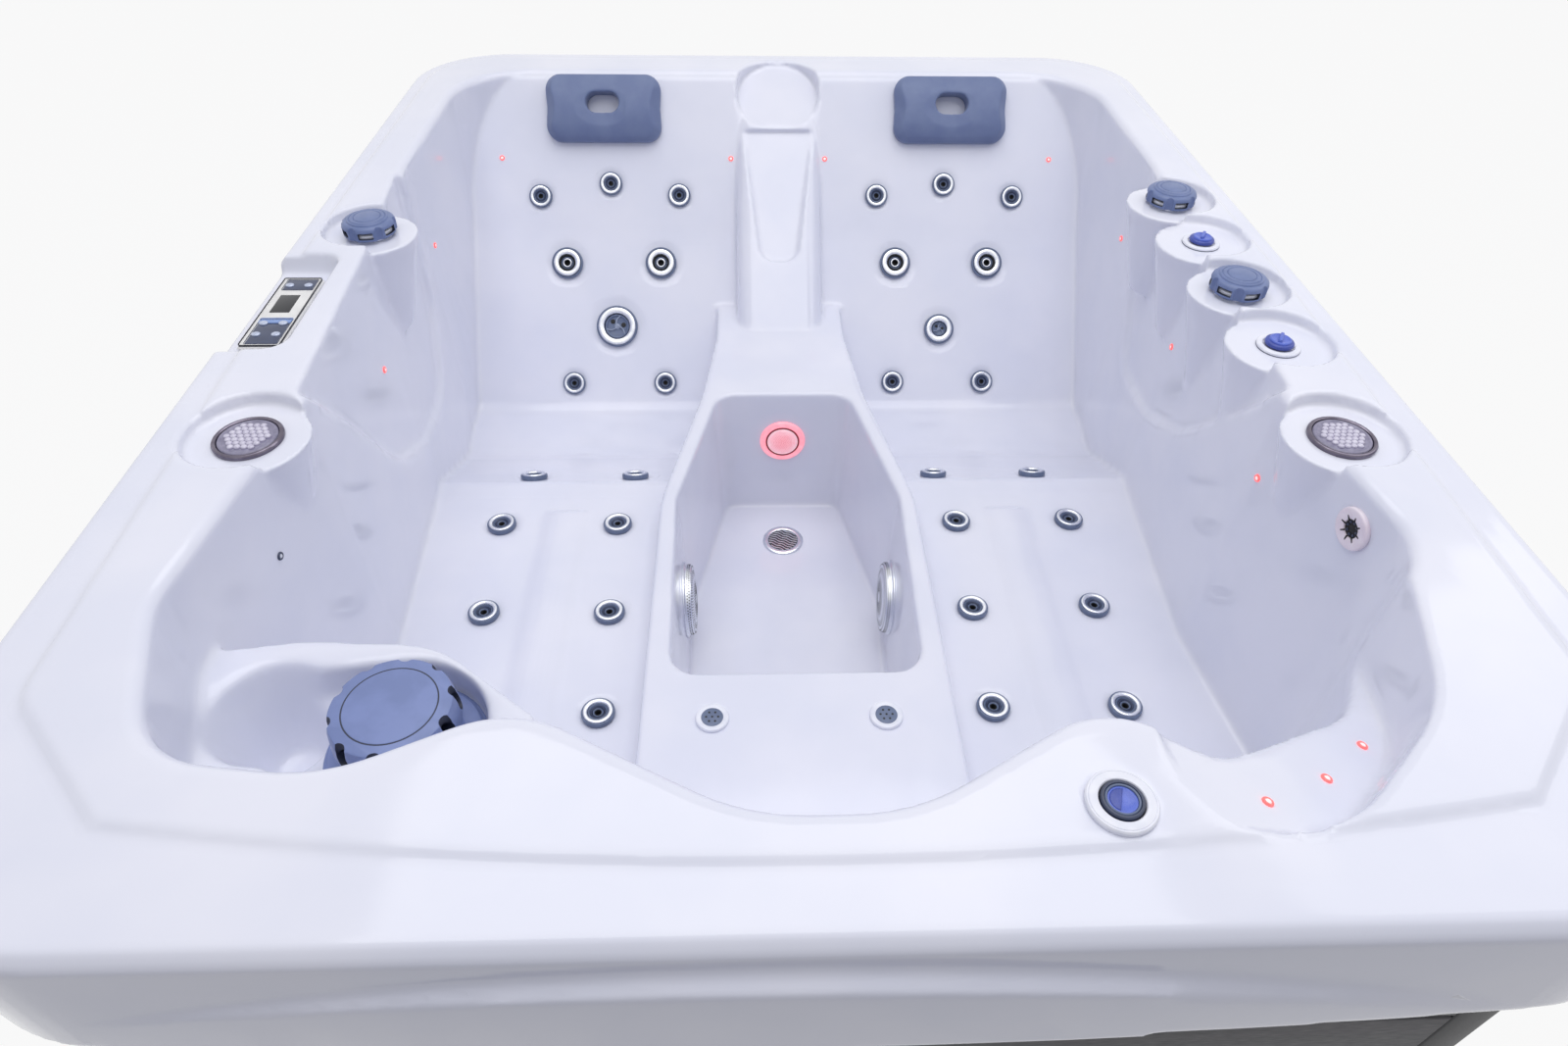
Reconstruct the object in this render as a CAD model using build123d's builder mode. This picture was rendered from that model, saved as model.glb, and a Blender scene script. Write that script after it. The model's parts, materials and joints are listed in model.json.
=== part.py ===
"""Acrylic hot tub with two loungers side by side, a footwell between them, a front seat,
a filter well in the front left corner and a cabinet of planks on a frame.
X points right, Y to the headrests and Z up; the origin is on the floor under the middle of the tub."""
from math import atan2, cos, radians, sin, tan
import os

from build123d import *

os.makedirs("parts", exist_ok=True)

# Whole tub
width = 1600
length = 2100
rim_height = 800
wall = 10
corner_radius = 190
play = 0.3

# Rim: a raised plateau inside an outer flange, and a skirt that hangs over the cabinet
skirt_height = 160
skirt_chamfer = 12
skirt_swell = 16
skirt_crease = [(-610, 688), (-43, 765), (610, 648)]
plateau_rise = 6
plateau_side = 763
plateau_side_front = 734
plateau_front = 937
plateau_bow = 44
plateau_back = 1008
plateau_chamfer = 128
rollover = 9

# Basin: half widths and places along Y of its outline at rim height
back_half = 690
back_y = 905
rib_half = 655
waist_half = 631
waist_y = -347
front_half = 664
left_front_y = -690
right_front_y = -620
basin_bottom = 150

# Lounger, seen from the side: backrest in two slopes, seat, thigh ramp and leg floor
back_top = (893, 795)
back_bend = (707, 509)
back_slope_lower = 51
seat_level = 205
seat_end = 290
knee = (45, 336)
leg_level = 330
ridge_x = 405
ridge_half = 42
ridge_height = 10

# Console and footwell
console_level = 390
console_half = 228
console_waist = 165
console_back_half = 140
footwell_half = 190
footwell_front = -458
footwell_back = 256
footwell_back_half = 132
footwell_floor = 100
footwell_draft = 2.5

# Pier between the backrests, with a dish on its head and a shallow trough down its face
pier_half = 95
pier_foot = (500, 395)
pier_slope = 44.5
dish_radius = 92
dish_y = 899
dish_z = 753
dish_tilt = 29

# Alcoves in the side walls: how deep, and how far the left one hangs lower
alcove_depth = 12
alcove_foot = 478
alcove_drop = 50

# Filter well in the front left corner and shelf in the front right one
platform_level = 690
well_floor = 640
well_radius = 91
well_x = -434
well_y = -765
funnel_x = -571
funnel_y = -739
funnel_radii = (30, 70)
funnel_deep = 130
filter_x = -432
filter_y = -760
filter_bore = 66
shelf_start = (330, -930)
shelf_along = (0.837, 0.547)
shelf_fall = 19.5

# Controls on the rim
pad_level = 786
pad_radius = 74
boss_depth = 172
pocket_radius = 45
pocket_depth = 54
knob_pads = [(-688, 150), (684, 270), (686, -45)]
air_pads = [(688, 118), (688, -200)]
lamp_pads = [(-682, -403), (681, -415)]
panel_x = -752
panel_y = -88
panel_wide = 62
panel_long = 196
panel_level = 774
button_x = 243
button_y = -936

# Fittings that sit in the shell: radius of the flange, then of the barrel behind the sheet
small_jet = (25.5, 17)
small_jet_sides = 6
small_jet_flats = 10
medium_jet = (35, 24)
large_jet = (46.5, 31)
small_rotary = (34, 24)
injector = (24, 14)
light = (47, 36)
drain = (43, 34)
suction = (70, 44)
inlet = (27, 19)
diverter = (33, 24)
air_valve = (30, 16)
lamp = (42, 34)
button = (31, 22)
led_radius = 5.5
knob_radius = 42
air_knob_radius = 20
nozzle_bore = 19.9
nozzle_radius = 18.9
rotor_radii = (27, 15.5)
rotor_shaft = 3
button_radius = 18.5
stem = 6
light_lens_radius = 33
lamp_lens_radius = 35.5

# Round fittings are drawn with this many flats: small ones, large ones and pipes
flats = 12
large_flats = 16
pipe_flats = 8

# Filter: collar, canister below the well's floor, cartridge and lid
collar_height = 8
collar_radius = 86
lid_level = well_floor + collar_height + play
lid_flange = 80
lid_radius = 61
lid_height = 74
canister_deep = 262
cartridge_radius = 60
cartridge_long = 248
cartridge_pleats = 16

# Control panel's housing, face and keys; headrests
housing_height = 9
face_height = 2
key_radius = 6.5
key_places = [(-14, 74), (14, 74), (-14, -36), (14, -36), (-14, -66), (14, -66)]
pillow_half_x = 129
pillow_half_y = 71
pillow_waist = 5
pillow_gap = 0.4
pillow_x = 386
pillow_z = 738

# Cabinet and frame
panel_thickness = 16
panel_outer_x = 772
panel_outer_y = 1022
panel_bottom = 30
panel_top = 660
cabinet_corner = 165
plank_pitch = 105
plank_joint = 5
post = 40
rail_top = 735
pan_floor = 8
pan_height = 26

# Equipment under the shell
pump_x = -420
pump_y = -220
pump_z = 130
pump_radius = 100
pump_deep = 80
motor_radius = 75
motor_long = 260
pump_shaft = 8
impeller_radius = 52
heater_y = -640
heater_radius = 40
heater_long = 380
blower_x = 330
blower_radius = 70
blower_high = 200
air_y = -541
pipe_radius = 25
hose_radius = 12
drain_valve_x = 430
drain_valve_z = 60
suction_y = -138
suction_z = 205
suction_end = 231
ring_x = 600
ring_y = 640


def basin_outline(grow):
    """Corners of the basin at rim height with their radii; behind the sheet only the noses are round."""
    soft = 1 if grow == 0 else 0
    return [
        (-back_half, back_y, 160 * soft),
        (-back_half, 400, 0),
        (-rib_half, 50, 0),
        (-waist_half, waist_y, 60 * soft),
        (-front_half, left_front_y, 130 * soft),
        (-600, -868, 95 * soft),
        (-440, -890, 160 * soft),
        (-285, -818, 110),
        (-70, -935, 200 * soft),
        (70, -935, 200 * soft),
        (262, -824, 90),
        (345, -884, 70 * soft),
        (560, -772, 160 * soft),
        (front_half, right_front_y, 110 * soft),
        (waist_half, waist_y, 60 * soft),
        (rib_half, 50, 0),
        (back_half, 400, 0),
        (back_half, back_y, 160 * soft),
    ]


def behind(corners, grow):
    """The corners as they show; behind the sheet they are sharp, which only makes it thicker."""
    if grow == 0:
        return corners
    return [(x, y, 0) for x, y, _ in corners]


def rounded_prism(plane, corners, grow, depth, taper=0):
    """Prism on a plane from corners with a radius each, grown outwards by a margin."""
    with BuildPart() as prism:
        with BuildSketch(plane):
            with BuildLine():
                FilletPolyline(
                    *[corner[:2] for corner in corners],
                    radius=[corner[2] for corner in corners],
                    close=True,
                )
            make_face()
            offset(amount=grow, kind=Kind.INTERSECTION)
        extrude(amount=depth, taper=taper)
    return prism.part


def side_plane(x):
    """Plane seen from the right side, with Y to the right and Z up."""
    return Plane(origin=(x, 0, 0), x_dir=(0, 1, 0), z_dir=(1, 0, 0))


def basin(grow):
    """Bathing space inside the side walls."""
    top = rim_height + 30
    return rounded_prism(Plane.XY.offset(top), basin_outline(grow), grow, basin_bottom - top)


def rim_flare():
    """Slope that leads from the rim into the basin."""
    foot = Plane.XY.offset(rim_height + plateau_rise - rollover)
    return rounded_prism(foot, basin_outline(0), 0, rollover + 1, -45)


def lounge_profile(grow):
    """Space above the backrest, seat, thigh ramp and leg floor, right across the tub."""
    seat_back = back_bend[0] - (back_bend[1] - seat_level) / tan(radians(back_slope_lower))
    corners = [
        (back_top[0] + 26, 835, 0),
        (back_top[0], back_top[1], 8),
        (back_bend[0], back_bend[1], 300),
        (seat_back, seat_level, 50),
        (seat_end, seat_level, 120),
        (knee[0], knee[1], 30),
        (knee[0] - 40, leg_level, 20),
        (-980, leg_level, 0),
        (-980, 835, 0),
    ]
    return rounded_prism(side_plane(-760), behind(corners, grow), grow, 1520)


def console(grow):
    """Block that carries the front seat and walls the footwell."""
    corners = [
        (-console_half, -1000, 0),
        (console_half, -1000, 0),
        (console_half, -60, 300),
        (console_waist, footwell_back, 300),
        (console_back_half, 480, 200),
        (console_back_half, 760, 0),
        (-console_back_half, 760, 0),
        (-console_back_half, 480, 200),
        (-console_waist, footwell_back, 300),
        (-console_half, -60, 300),
    ]
    top = console_level + grow
    return rounded_prism(Plane.XY.offset(top), behind(corners, grow), grow, 100 - top)


def pier(grow):
    """Sloping ridge between the two backrests."""
    lean = radians(pier_slope)
    slope = Plane(
        origin=(0, pier_foot[0] - 120 * cos(lean), pier_foot[1] - 120 * sin(lean)),
        x_dir=(1, 0, 0),
        z_dir=(0, cos(lean), sin(lean)),
    )
    with BuildPart() as bar:
        with BuildSketch(slope):
            with Locations((0, 100 - grow / 2)):
                RectangleRounded(2 * (pier_half + grow), 200 + grow, 40)
        extrude(amount=720)
    return bar.part


def platform(grow):
    """Block around the filter well."""
    corners = [
        (-760, -668, 0),
        (-570, -640, 200),
        (-420, -648, 120),
        (-285, -755, 60),
        (-285, -1000, 0),
        (-760, -1000, 0),
    ]
    top = platform_level + grow
    return rounded_prism(Plane.XY.offset(top), corners, grow, basin_bottom - top)


def leg_ridge(side):
    """Low rounded ridge that parts the two leg channels of a lounger."""
    sweep_radius = (ridge_half**2 + ridge_height**2) / (2 * ridge_height)
    section = Plane(
        origin=(side * ridge_x, knee[0] - 80, leg_level + ridge_height), x_dir=(1, 0, 0), z_dir=(0, -1, 0)
    )
    with BuildPart() as ridge:
        with BuildSketch(section):
            with Locations((0, -sweep_radius)):
                Circle(sweep_radius)
        extrude(amount=900)
    return ridge.part


def footwell(grow):
    """Deep space for the feet, narrower towards the backrests."""
    corners = [
        (-footwell_half, footwell_front, 45),
        (footwell_half, footwell_front, 45),
        (footwell_half + 10, -60, 60),
        (footwell_back_half, footwell_back, 45),
        (-footwell_back_half, footwell_back, 45),
        (-footwell_half - 10, -60, 60),
    ]
    top = console_level + 12
    depth = top - footwell_floor + grow
    return rounded_prism(Plane.XY.offset(top), behind(corners, grow), grow, -depth, footwell_draft)


def alcove(side, grow):
    """Shallow recess in a side wall above the armrest, U-shaped seen from the middle."""
    foot = alcove_foot if side > 0 else alcove_foot - alcove_drop
    corners = [
        (-360, 835, 0),
        (-235, 690, 120),
        (-95, foot + 75, 160),
        (60, foot, 180),
        (250, foot - 28, 90),
        (342, foot + 110, 110),
        (350, 835, 0),
    ]
    outline = rounded_prism(side_plane(side * 560), behind(corners, grow), grow, side * 180)
    reach = basin(alcove_depth + grow)
    return outline & reach


def boss(x, y):
    """Bulge of the wall under a control on the rim, fading out downwards."""
    with BuildPart() as bulge:
        with BuildSketch(Plane.XY.offset(pad_level)):
            with Locations((x, y)):
                Circle(pad_radius)
        extrude(amount=-boss_depth, taper=15)
    return bulge.part


def boss_pocket(x, y):
    """Pocket behind a bulge, which makes room for the control's body."""
    with BuildPart() as pocket:
        with BuildSketch(Plane.XY.offset(pad_level - wall)):
            with Locations((x, y)):
                RegularPolygon(pocket_radius, 8)
        extrude(amount=-pocket_depth)
    return pocket.part


def pad(x, y):
    """Round flat sunk into the rim under a control."""
    with BuildPart() as flat:
        with BuildSketch(Plane.XY.offset(pad_level)):
            with Locations((x, y)):
                Circle(pad_radius)
        extrude(amount=60)
    return flat.part


def pad_back(x, y):
    """Space that a pad and the sheet around it take out of the rim."""
    with BuildPart() as block:
        with BuildSketch(Plane.XY.offset(pad_level - wall)):
            with Locations((x, y)):
                RegularPolygon((pad_radius + wall) / cos(radians(22.5)), 8)
        extrude(amount=60)
    return block.part


def panel_recess(grow):
    """Lowered stretch of the left rim, open to the outside, for the control panel."""
    with BuildPart() as recess:
        with BuildSketch(Plane.XY.offset(panel_level - grow)):
            with Locations((panel_x - 50, panel_y)):
                RectangleRounded(184 + 2 * grow, 250 + 2 * grow, 20)
        extrude(amount=60, taper=-20)
    return recess.part


def dish(grow):
    """Round dish on the head of the pier."""
    lean = radians(dish_tilt)
    face = Plane(origin=(0, dish_y, dish_z), x_dir=(1, 0, 0), z_dir=(0, -sin(lean), cos(lean)))
    with BuildPart() as bowl:
        with BuildSketch(face.offset(-grow)):
            Circle(dish_radius + grow)
        extrude(amount=90 + grow)
    return bowl.part


def trough(grow):
    """Shallow tapered recess down the face of the pier, round at its lower end."""
    lean = radians(pier_slope)
    face = Plane(
        origin=(0, pier_foot[0], pier_foot[1]), x_dir=(1, 0, 0), z_dir=(0, -sin(lean), cos(lean))
    )
    corners = [(-78, 450, 0), (-40, 150, 36), (40, 150, 36), (78, 450, 0)]
    return rounded_prism(face.offset(-12 - grow), corners, grow, 40)


def filter_well(grow):
    """Rounded well around the filter that runs into a funnel at its outer end."""
    with BuildPart() as well:
        with BuildSketch(Plane.XY.offset(well_floor - grow)):
            with Locations((well_x, well_y)):
                Circle(well_radius + grow)
            with Locations((funnel_x, funnel_y)):
                Circle((funnel_radii[0] + funnel_radii[1]) / 2 + grow)
            make_hull()
        extrude(amount=platform_level + 12 - well_floor + grow)
        with Locations((funnel_x, funnel_y, platform_level + 12 - (funnel_deep + grow) / 2)):
            Cone(funnel_radii[0] + grow, funnel_radii[1] + grow, funnel_deep + grow)
    return well.part


def shelf_plane(x, y):
    """Plane on the sloping floor of the shelf above a place."""
    fall = radians(shelf_fall)
    run = (x - shelf_start[0]) * shelf_along[0] + (y - shelf_start[1]) * shelf_along[1]
    return Plane(
        origin=(x, y, rim_height - run * tan(fall)),
        x_dir=(shelf_along[0] * cos(fall), shelf_along[1] * cos(fall), -sin(fall)),
        z_dir=(shelf_along[0] * sin(fall), shelf_along[1] * sin(fall), cos(fall)),
    )


def shelf(grow):
    """Lowered ledge that curls round the front right corner and sinks towards its end."""
    corners = [
        (300, -962, 20),
        (432, -962, 150),
        (574, -838, 200),
        (657, -590, 0),
        (420, -590, 0),
        (300, -800, 0),
    ]
    ledge = rounded_prism(Plane.XY.offset(rim_height + 40), behind(corners, grow), grow, -220)
    with BuildPart() as cut:
        add(ledge)
        split(bisect_by=shelf_plane(*shelf_start).offset(-grow), keep=Keep.TOP)
    return cut.part


rim_pads = knob_pads + air_pads + lamp_pads


def bathing_space(grow):
    """Everything that is open inside the tub, grown by the thickness of the sheet."""
    with BuildPart() as space:
        add(basin(grow))
        add(lounge_profile(grow), mode=Mode.INTERSECT)
        add([console(-grow), pier(-grow), platform(-grow)], mode=Mode.SUBTRACT)
        add([alcove(side, grow) for side in (-1, 1)])
        if grow == 0:
            add([boss(x, y) for x, y in rim_pads], mode=Mode.SUBTRACT)
            add([pad(x, y) for x, y in rim_pads])
        else:
            add([boss_pocket(x, y) for x, y in rim_pads], mode=Mode.SUBTRACT)
            add([pad_back(x, y) for x, y in rim_pads])
        add([footwell(grow), filter_well(grow), shelf(grow)])
        add([dish(grow), trough(grow), panel_recess(grow)])
    return space.part


def backrest_plane(x, z):
    """Plane on the backrest at a height, facing the bather."""
    slope = radians(back_slope_lower)
    if z > back_bend[1]:
        slope = atan2(back_top[1] - back_bend[1], back_top[0] - back_bend[0])
    y = back_bend[0] + (z - back_bend[1]) / tan(slope)
    return Plane(origin=(x, y, z), x_dir=(1, 0, 0), z_dir=(0, -sin(slope), cos(slope)))


def ramp_plane(x, y):
    """Plane on the thigh ramp, which falls from the knee towards the seat."""
    fall = atan2(knee[1] - seat_level, seat_end - knee[0])
    z = knee[1] - (y - knee[0]) * tan(fall)
    return Plane(origin=(x, y, z), x_dir=(1, 0, 0), z_dir=(0, sin(fall), cos(fall)))


def level_plane(x, y, z):
    """Level plane, facing up."""
    return Plane(origin=(x, y, z), x_dir=(1, 0, 0), z_dir=(0, 0, 1))


def wall_plane(side, y, z, near, far, top, draft):
    """Plane on a drafted wall between two corners of its outline, facing the middle of the tub."""
    turn = atan2(far[0] - near[0], far[1] - near[1])
    lean = radians(draft)
    x = near[0] + (y - near[1]) * tan(turn) - (top - z) * tan(lean) / cos(turn)
    face = (-side * cos(lean) * cos(turn), cos(lean) * sin(turn), sin(lean))
    return Plane(origin=(side * x, y, z), x_dir=(0, 0, 1), z_dir=face)


def basin_wall_plane(side, y, z, near, far):
    """Plane on the basin's side wall, which is upright."""
    return wall_plane(side, y, z, near, far, rim_height, 0)


def footwell_wall_plane(side, y, z):
    """Plane on a side wall of the footwell."""
    near = (footwell_half, footwell_front)
    far = (footwell_half + 10, -60)
    return wall_plane(side, y, z, near, far, console_level + 12, footwell_draft)


def both_sides(places):
    """The same places on the left and on the right."""
    return [(side * x, v) for side in (-1, 1) for x, v in places]


small_jet_planes = [backrest_plane(x, z) for x, z in both_sides([(224, 585), (377, 606), (535, 583)])]
small_jet_planes += [backrest_plane(x, z) for x, z in both_sides([(262, 252), (470, 252)])]
small_jet_planes += [ramp_plane(x, y) for x, y in both_sides([(292, 92), (488, 92)])]
leg_jets = [(309, -67), (518, -65), (302, -282), (508, -280), (298, -485), (500, -487)]
small_jet_planes += [level_plane(x, y, leg_level) for x, y in both_sides(leg_jets)]
medium_jet_names = ["left_inner", "left_outer", "right_inner", "right_outer"]
medium_jet_planes = [backrest_plane(x, z) for x, z in both_sides([(268, 463), (480, 463)])]
rotary_names = ["left", "right"]
rotary_planes = [backrest_plane(-370, 352), backrest_plane(370, 346)]
injector_planes = [level_plane(x, air_y, console_level) for x in (-124, 124)]

waist = (waist_half, waist_y)
rib = (rib_half, 50)
led_planes = [backrest_plane(x, z) for x, z in both_sides([(106, 652), (618, 652)])]
led_planes += [shelf_plane(x, y) for x, y in [(381, -924), (466, -881), (542, -823)]]
led_planes += [
    Plane(origin=(-back_half, 439, 622), x_dir=(0, 0, 1), z_dir=(1, 0, 0)),
    Plane(origin=(back_half, 450, 632), x_dir=(0, 0, 1), z_dir=(-1, 0, 0)),
    basin_wall_plane(-1, -17, 632, waist, rib).offset(-alcove_depth),
    basin_wall_plane(1, 60, 622, rib, (back_half, 400)).offset(-alcove_depth),
    basin_wall_plane(-1, -500, 681, (front_half, left_front_y), waist),
    basin_wall_plane(1, -362, 678, (front_half, right_front_y), waist),
]
light_z = 275
light_lean = radians(footwell_draft)
light_plane = Plane(
    origin=(0, footwell_back - (console_level + 12 - light_z) * tan(light_lean), light_z),
    x_dir=(1, 0, 0),
    z_dir=(0, -cos(light_lean), sin(light_lean)),
)
drain_plane = level_plane(0, 128, footwell_floor)
suction_planes = [footwell_wall_plane(side, suction_y, suction_z) for side in (-1, 1)]
inlet_plane = basin_wall_plane(1, -540, 748, (front_half, right_front_y), waist)
knob_names = ["left", "right_rear", "right_front"]
knob_planes = [level_plane(x, y, pad_level) for x, y in knob_pads]
air_knob_names = ["rear", "front"]
air_planes = [level_plane(x, y, pad_level) for x, y in air_pads]
lamp_planes = [level_plane(x, y, pad_level) for x, y in lamp_pads]
button_plane = level_plane(button_x, button_y, rim_height + plateau_rise)
filter_plane = level_plane(filter_x, filter_y, well_floor)
panel_plane = level_plane(panel_x, panel_y, panel_level)


def stepped(steps, bores=(), sides=flats):
    """Round piece with flats; steps and bores are each a radius and the levels they run between."""
    with BuildPart() as piece:
        for radius, low, high in steps:
            with BuildSketch(Plane.XY.offset(low)):
                RegularPolygon(radius, sides)
            extrude(amount=high - low)
        for radius, low, high in bores:
            with BuildSketch(Plane.XY.offset(low)):
                RegularPolygon(radius, sides)
            extrude(amount=high - low, mode=Mode.SUBTRACT)
    return piece.part


# Shell: one formed acrylic sheet with its backing, from the skirt over the rim into the tub
shell_holes = [(plane, medium_jet[1] + play) for plane in medium_jet_planes]
shell_holes += [(rotary_planes[0], large_jet[1] + play), (rotary_planes[1], small_rotary[1] + play)]
shell_holes += [(plane, injector[1] + play) for plane in injector_planes]
shell_holes += [(plane, suction[1] + play) for plane in suction_planes]
shell_holes += [(plane, diverter[1] + play) for plane in knob_planes]
shell_holes += [(plane, air_valve[1] + play) for plane in air_planes]
shell_holes += [(plane, lamp[1] + play) for plane in lamp_planes]
shell_holes += [(light_plane, light[1] + play), (drain_plane, drain[1] + play)]
shell_holes += [(inlet_plane, inlet[1] + play), (button_plane, button[1] + play)]
shell_holes += [(filter_plane, filter_bore + 6 + play), (panel_plane, 14)]

with BuildPart() as swell:
    with BuildSketch(Plane(origin=(0, -length / 2, 0), x_dir=(1, 0, 0), z_dir=(0, -1, 0))):
        with BuildLine():
            ThreePointArc(*skirt_crease)
            Polyline(
                skirt_crease[2],
                (skirt_crease[2][0], rim_height - 2 * skirt_height),
                (skirt_crease[0][0], rim_height - 2 * skirt_height),
                skirt_crease[0],
            )
        make_face()
    extrude(amount=skirt_swell, taper=30)
    with BuildSketch(Plane.XY.offset(rim_height - skirt_height)):
        with BuildLine():
            ThreePointArc(
                (skirt_crease[0][0], -length / 2),
                (0, -length / 2 - skirt_swell),
                (skirt_crease[2][0], -length / 2),
            )
            Line((skirt_crease[2][0], -length / 2), (skirt_crease[0][0], -length / 2))
        make_face()
    extrude(amount=skirt_height, mode=Mode.INTERSECT)

with BuildPart() as tub_limit:
    with BuildSketch():
        Rectangle(width - 2 * wall, length - 2 * wall)
    extrude(amount=rim_height)
inside = bathing_space(0)
outside = bathing_space(wall) & tub_limit.part
ridges = [leg_ridge(side) & outside for side in (-1, 1)]

with BuildPart() as shell:
    with BuildSketch(Plane.XY.offset(rim_height - skirt_height)):
        RectangleRounded(width, length, corner_radius)
    extrude(amount=skirt_height)
    rim_edges = shell.edges().filter_by_position(Axis.Z, rim_height - 1, rim_height + 1)
    chamfer(rim_edges, skirt_chamfer)
    add(swell)
    chamfer_x = plateau_side_front - plateau_chamfer
    with BuildSketch(Plane.XY.offset(rim_height)):
        with BuildLine():
            ThreePointArc(
                (-chamfer_x, -plateau_front),
                (0, -plateau_front - plateau_bow),
                (chamfer_x, -plateau_front),
            )
            FilletPolyline(
                (chamfer_x, -plateau_front),
                (plateau_side_front, -plateau_front + plateau_chamfer),
                (plateau_side, 0),
                (plateau_side, plateau_back),
                (-plateau_side, plateau_back),
                (-plateau_side, 0),
                (-plateau_side_front, -plateau_front + plateau_chamfer),
                (-chamfer_x, -plateau_front),
                radius=[60, 0, 150, 150, 0, 60],
            )
        make_face()
    extrude(amount=plateau_rise, taper=30)
    with BuildSketch(Plane.XY.offset(rim_height - skirt_height)):
        RectangleRounded(width - 2 * wall, length - 2 * wall, corner_radius - wall)
    extrude(amount=skirt_height - wall, mode=Mode.SUBTRACT)
    add(outside)
    add([inside, rim_flare()], mode=Mode.SUBTRACT)
    add(ridges)
    for plane, radius in shell_holes:
        with BuildSketch(plane.offset(14)):
            RegularPolygon(radius, flats, major_radius=False)
    for plane in small_jet_planes:
        with BuildSketch(plane.offset(14)):
            RegularPolygon(small_jet[1] + play, small_jet_sides)
    extrude(amount=-36, mode=Mode.SUBTRACT)
shell.part.label = "shell"
export_step(shell.part, "parts/shell.step")

# Base tray, posts and the two rings of rails that carry the shell and the cabinet
with BuildPart() as base_pan:
    with BuildSketch():
        RectangleRounded(2 * panel_outer_x - 32, 2 * panel_outer_y - 32, cabinet_corner - 16)
    extrude(amount=pan_height)
    with BuildSketch(Plane.XY.offset(pan_floor)):
        Rectangle(2 * panel_outer_x - 130, 2 * panel_outer_y - 130)
    extrude(amount=pan_height - pan_floor, mode=Mode.SUBTRACT)
base_pan.part.label = "base_pan"
export_step(base_pan.part, "parts/base_pan.step")

post_x = panel_outer_x - panel_thickness - post / 2
post_y = panel_outer_y - panel_thickness - post / 2
with BuildPart() as frame_posts:
    with BuildSketch(Plane.XY.offset(pan_height)):
        with GridLocations(2 * post_x, 660, 2, 2):
            Rectangle(post, post)
        with GridLocations(1120, 2 * post_y, 2, 2):
            Rectangle(post, post)
        with GridLocations(600, 2 * post_y, 2, 2):
            Rectangle(post, post)
    extrude(amount=rail_top - post - pan_height)
frame_posts.part.label = "frame_posts"
export_step(frame_posts.part, "parts/frame_posts.step")

with BuildPart() as frame_rails:
    with BuildSketch(Plane.XY.offset(rail_top - post)):
        Rectangle(2 * post_x + post, 2 * post_y + post)
        Rectangle(2 * post_x - post, 2 * post_y - post, mode=Mode.SUBTRACT)
        with GridLocations(2 * post_x + post, 2 * post_y + post, 2, 2):
            Rectangle(110, 110, rotation=45, mode=Mode.SUBTRACT)
    extrude(amount=post)
frame_rails.part.label = "frame_rails"
export_step(frame_rails.part, "parts/frame_rails.step")


# Cabinet: a panel of level planks on each side, between rounded corner trims
def plank_panel(plane, wide):
    """Panel of level planks with a shallow joint between each two."""
    joints = int((panel_top - panel_bottom) / plank_pitch)
    with BuildPart() as panel:
        with BuildSketch(plane):
            with Locations((0, (panel_bottom + panel_top) / 2)):
                Rectangle(wide, panel_top - panel_bottom)
        extrude(amount=-panel_thickness)
        with BuildSketch(plane):
            with Locations(*[(0, panel_bottom + plank_pitch * (i + 1)) for i in range(joints)]):
                Rectangle(wide, plank_joint)
        extrude(amount=-plank_joint, mode=Mode.SUBTRACT)
    return panel.part


end_wide = 2 * (panel_outer_x - cabinet_corner)
side_wide = 2 * (panel_outer_y - cabinet_corner)
front_plane = Plane(origin=(0, -panel_outer_y, 0), x_dir=(1, 0, 0), z_dir=(0, -1, 0))
drain_valve_plane = Plane(
    origin=(drain_valve_x, -panel_outer_y, drain_valve_z), x_dir=(1, 0, 0), z_dir=(0, -1, 0)
)
with BuildPart() as front_panel:
    add(plank_panel(front_plane, end_wide))
    with BuildSketch(drain_valve_plane):
        RegularPolygon(18, flats)
    extrude(amount=-panel_thickness, mode=Mode.SUBTRACT)
front_panel.part.label = "front_panel"
export_step(front_panel.part, "parts/front_panel.step")

cabinet_planes = {
    "back_panel": (Plane(origin=(0, panel_outer_y, 0), x_dir=(-1, 0, 0), z_dir=(0, 1, 0)), end_wide),
    "left_panel": (Plane(origin=(-panel_outer_x, 0, 0), x_dir=(0, -1, 0), z_dir=(-1, 0, 0)), side_wide),
    "right_panel": (Plane(origin=(panel_outer_x, 0, 0), x_dir=(0, 1, 0), z_dir=(1, 0, 0)), side_wide),
}
for name, (plane, wide) in cabinet_planes.items():
    panel = plank_panel(plane, wide)
    panel.label = name
    export_step(panel, f"parts/{name}.step")

with BuildPart() as corner_trims:
    with BuildSketch(Plane.XY.offset(panel_bottom)):
        RectangleRounded(2 * panel_outer_x, 2 * panel_outer_y, cabinet_corner)
        RectangleRounded(
            2 * (panel_outer_x - panel_thickness),
            2 * (panel_outer_y - panel_thickness),
            cabinet_corner - panel_thickness,
            mode=Mode.SUBTRACT,
        )
        Rectangle(end_wide, 2 * length, mode=Mode.SUBTRACT)
        Rectangle(2 * width, side_wide, mode=Mode.SUBTRACT)
    extrude(amount=panel_top - panel_bottom)
corner_trims.part.label = "corner_trims"
export_step(corner_trims.part, "parts/corner_trims.step")

# Small jets: a flange on a barrel with flats, which keep it from turning in the sheet
with BuildPart() as small_jet_piece:
    with BuildSketch():
        RegularPolygon(small_jet[0], small_jet_flats)
    extrude(amount=9, taper=20)
    with BuildSketch():
        RegularPolygon(small_jet[1], small_jet_sides)
    extrude(amount=-48)
with BuildPart() as small_jets:
    with Locations(small_jet_planes):
        add(small_jet_piece.part)
small_jets.part.label = "small_jets"
export_step(small_jets.part, "parts/small_jets.step")

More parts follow.
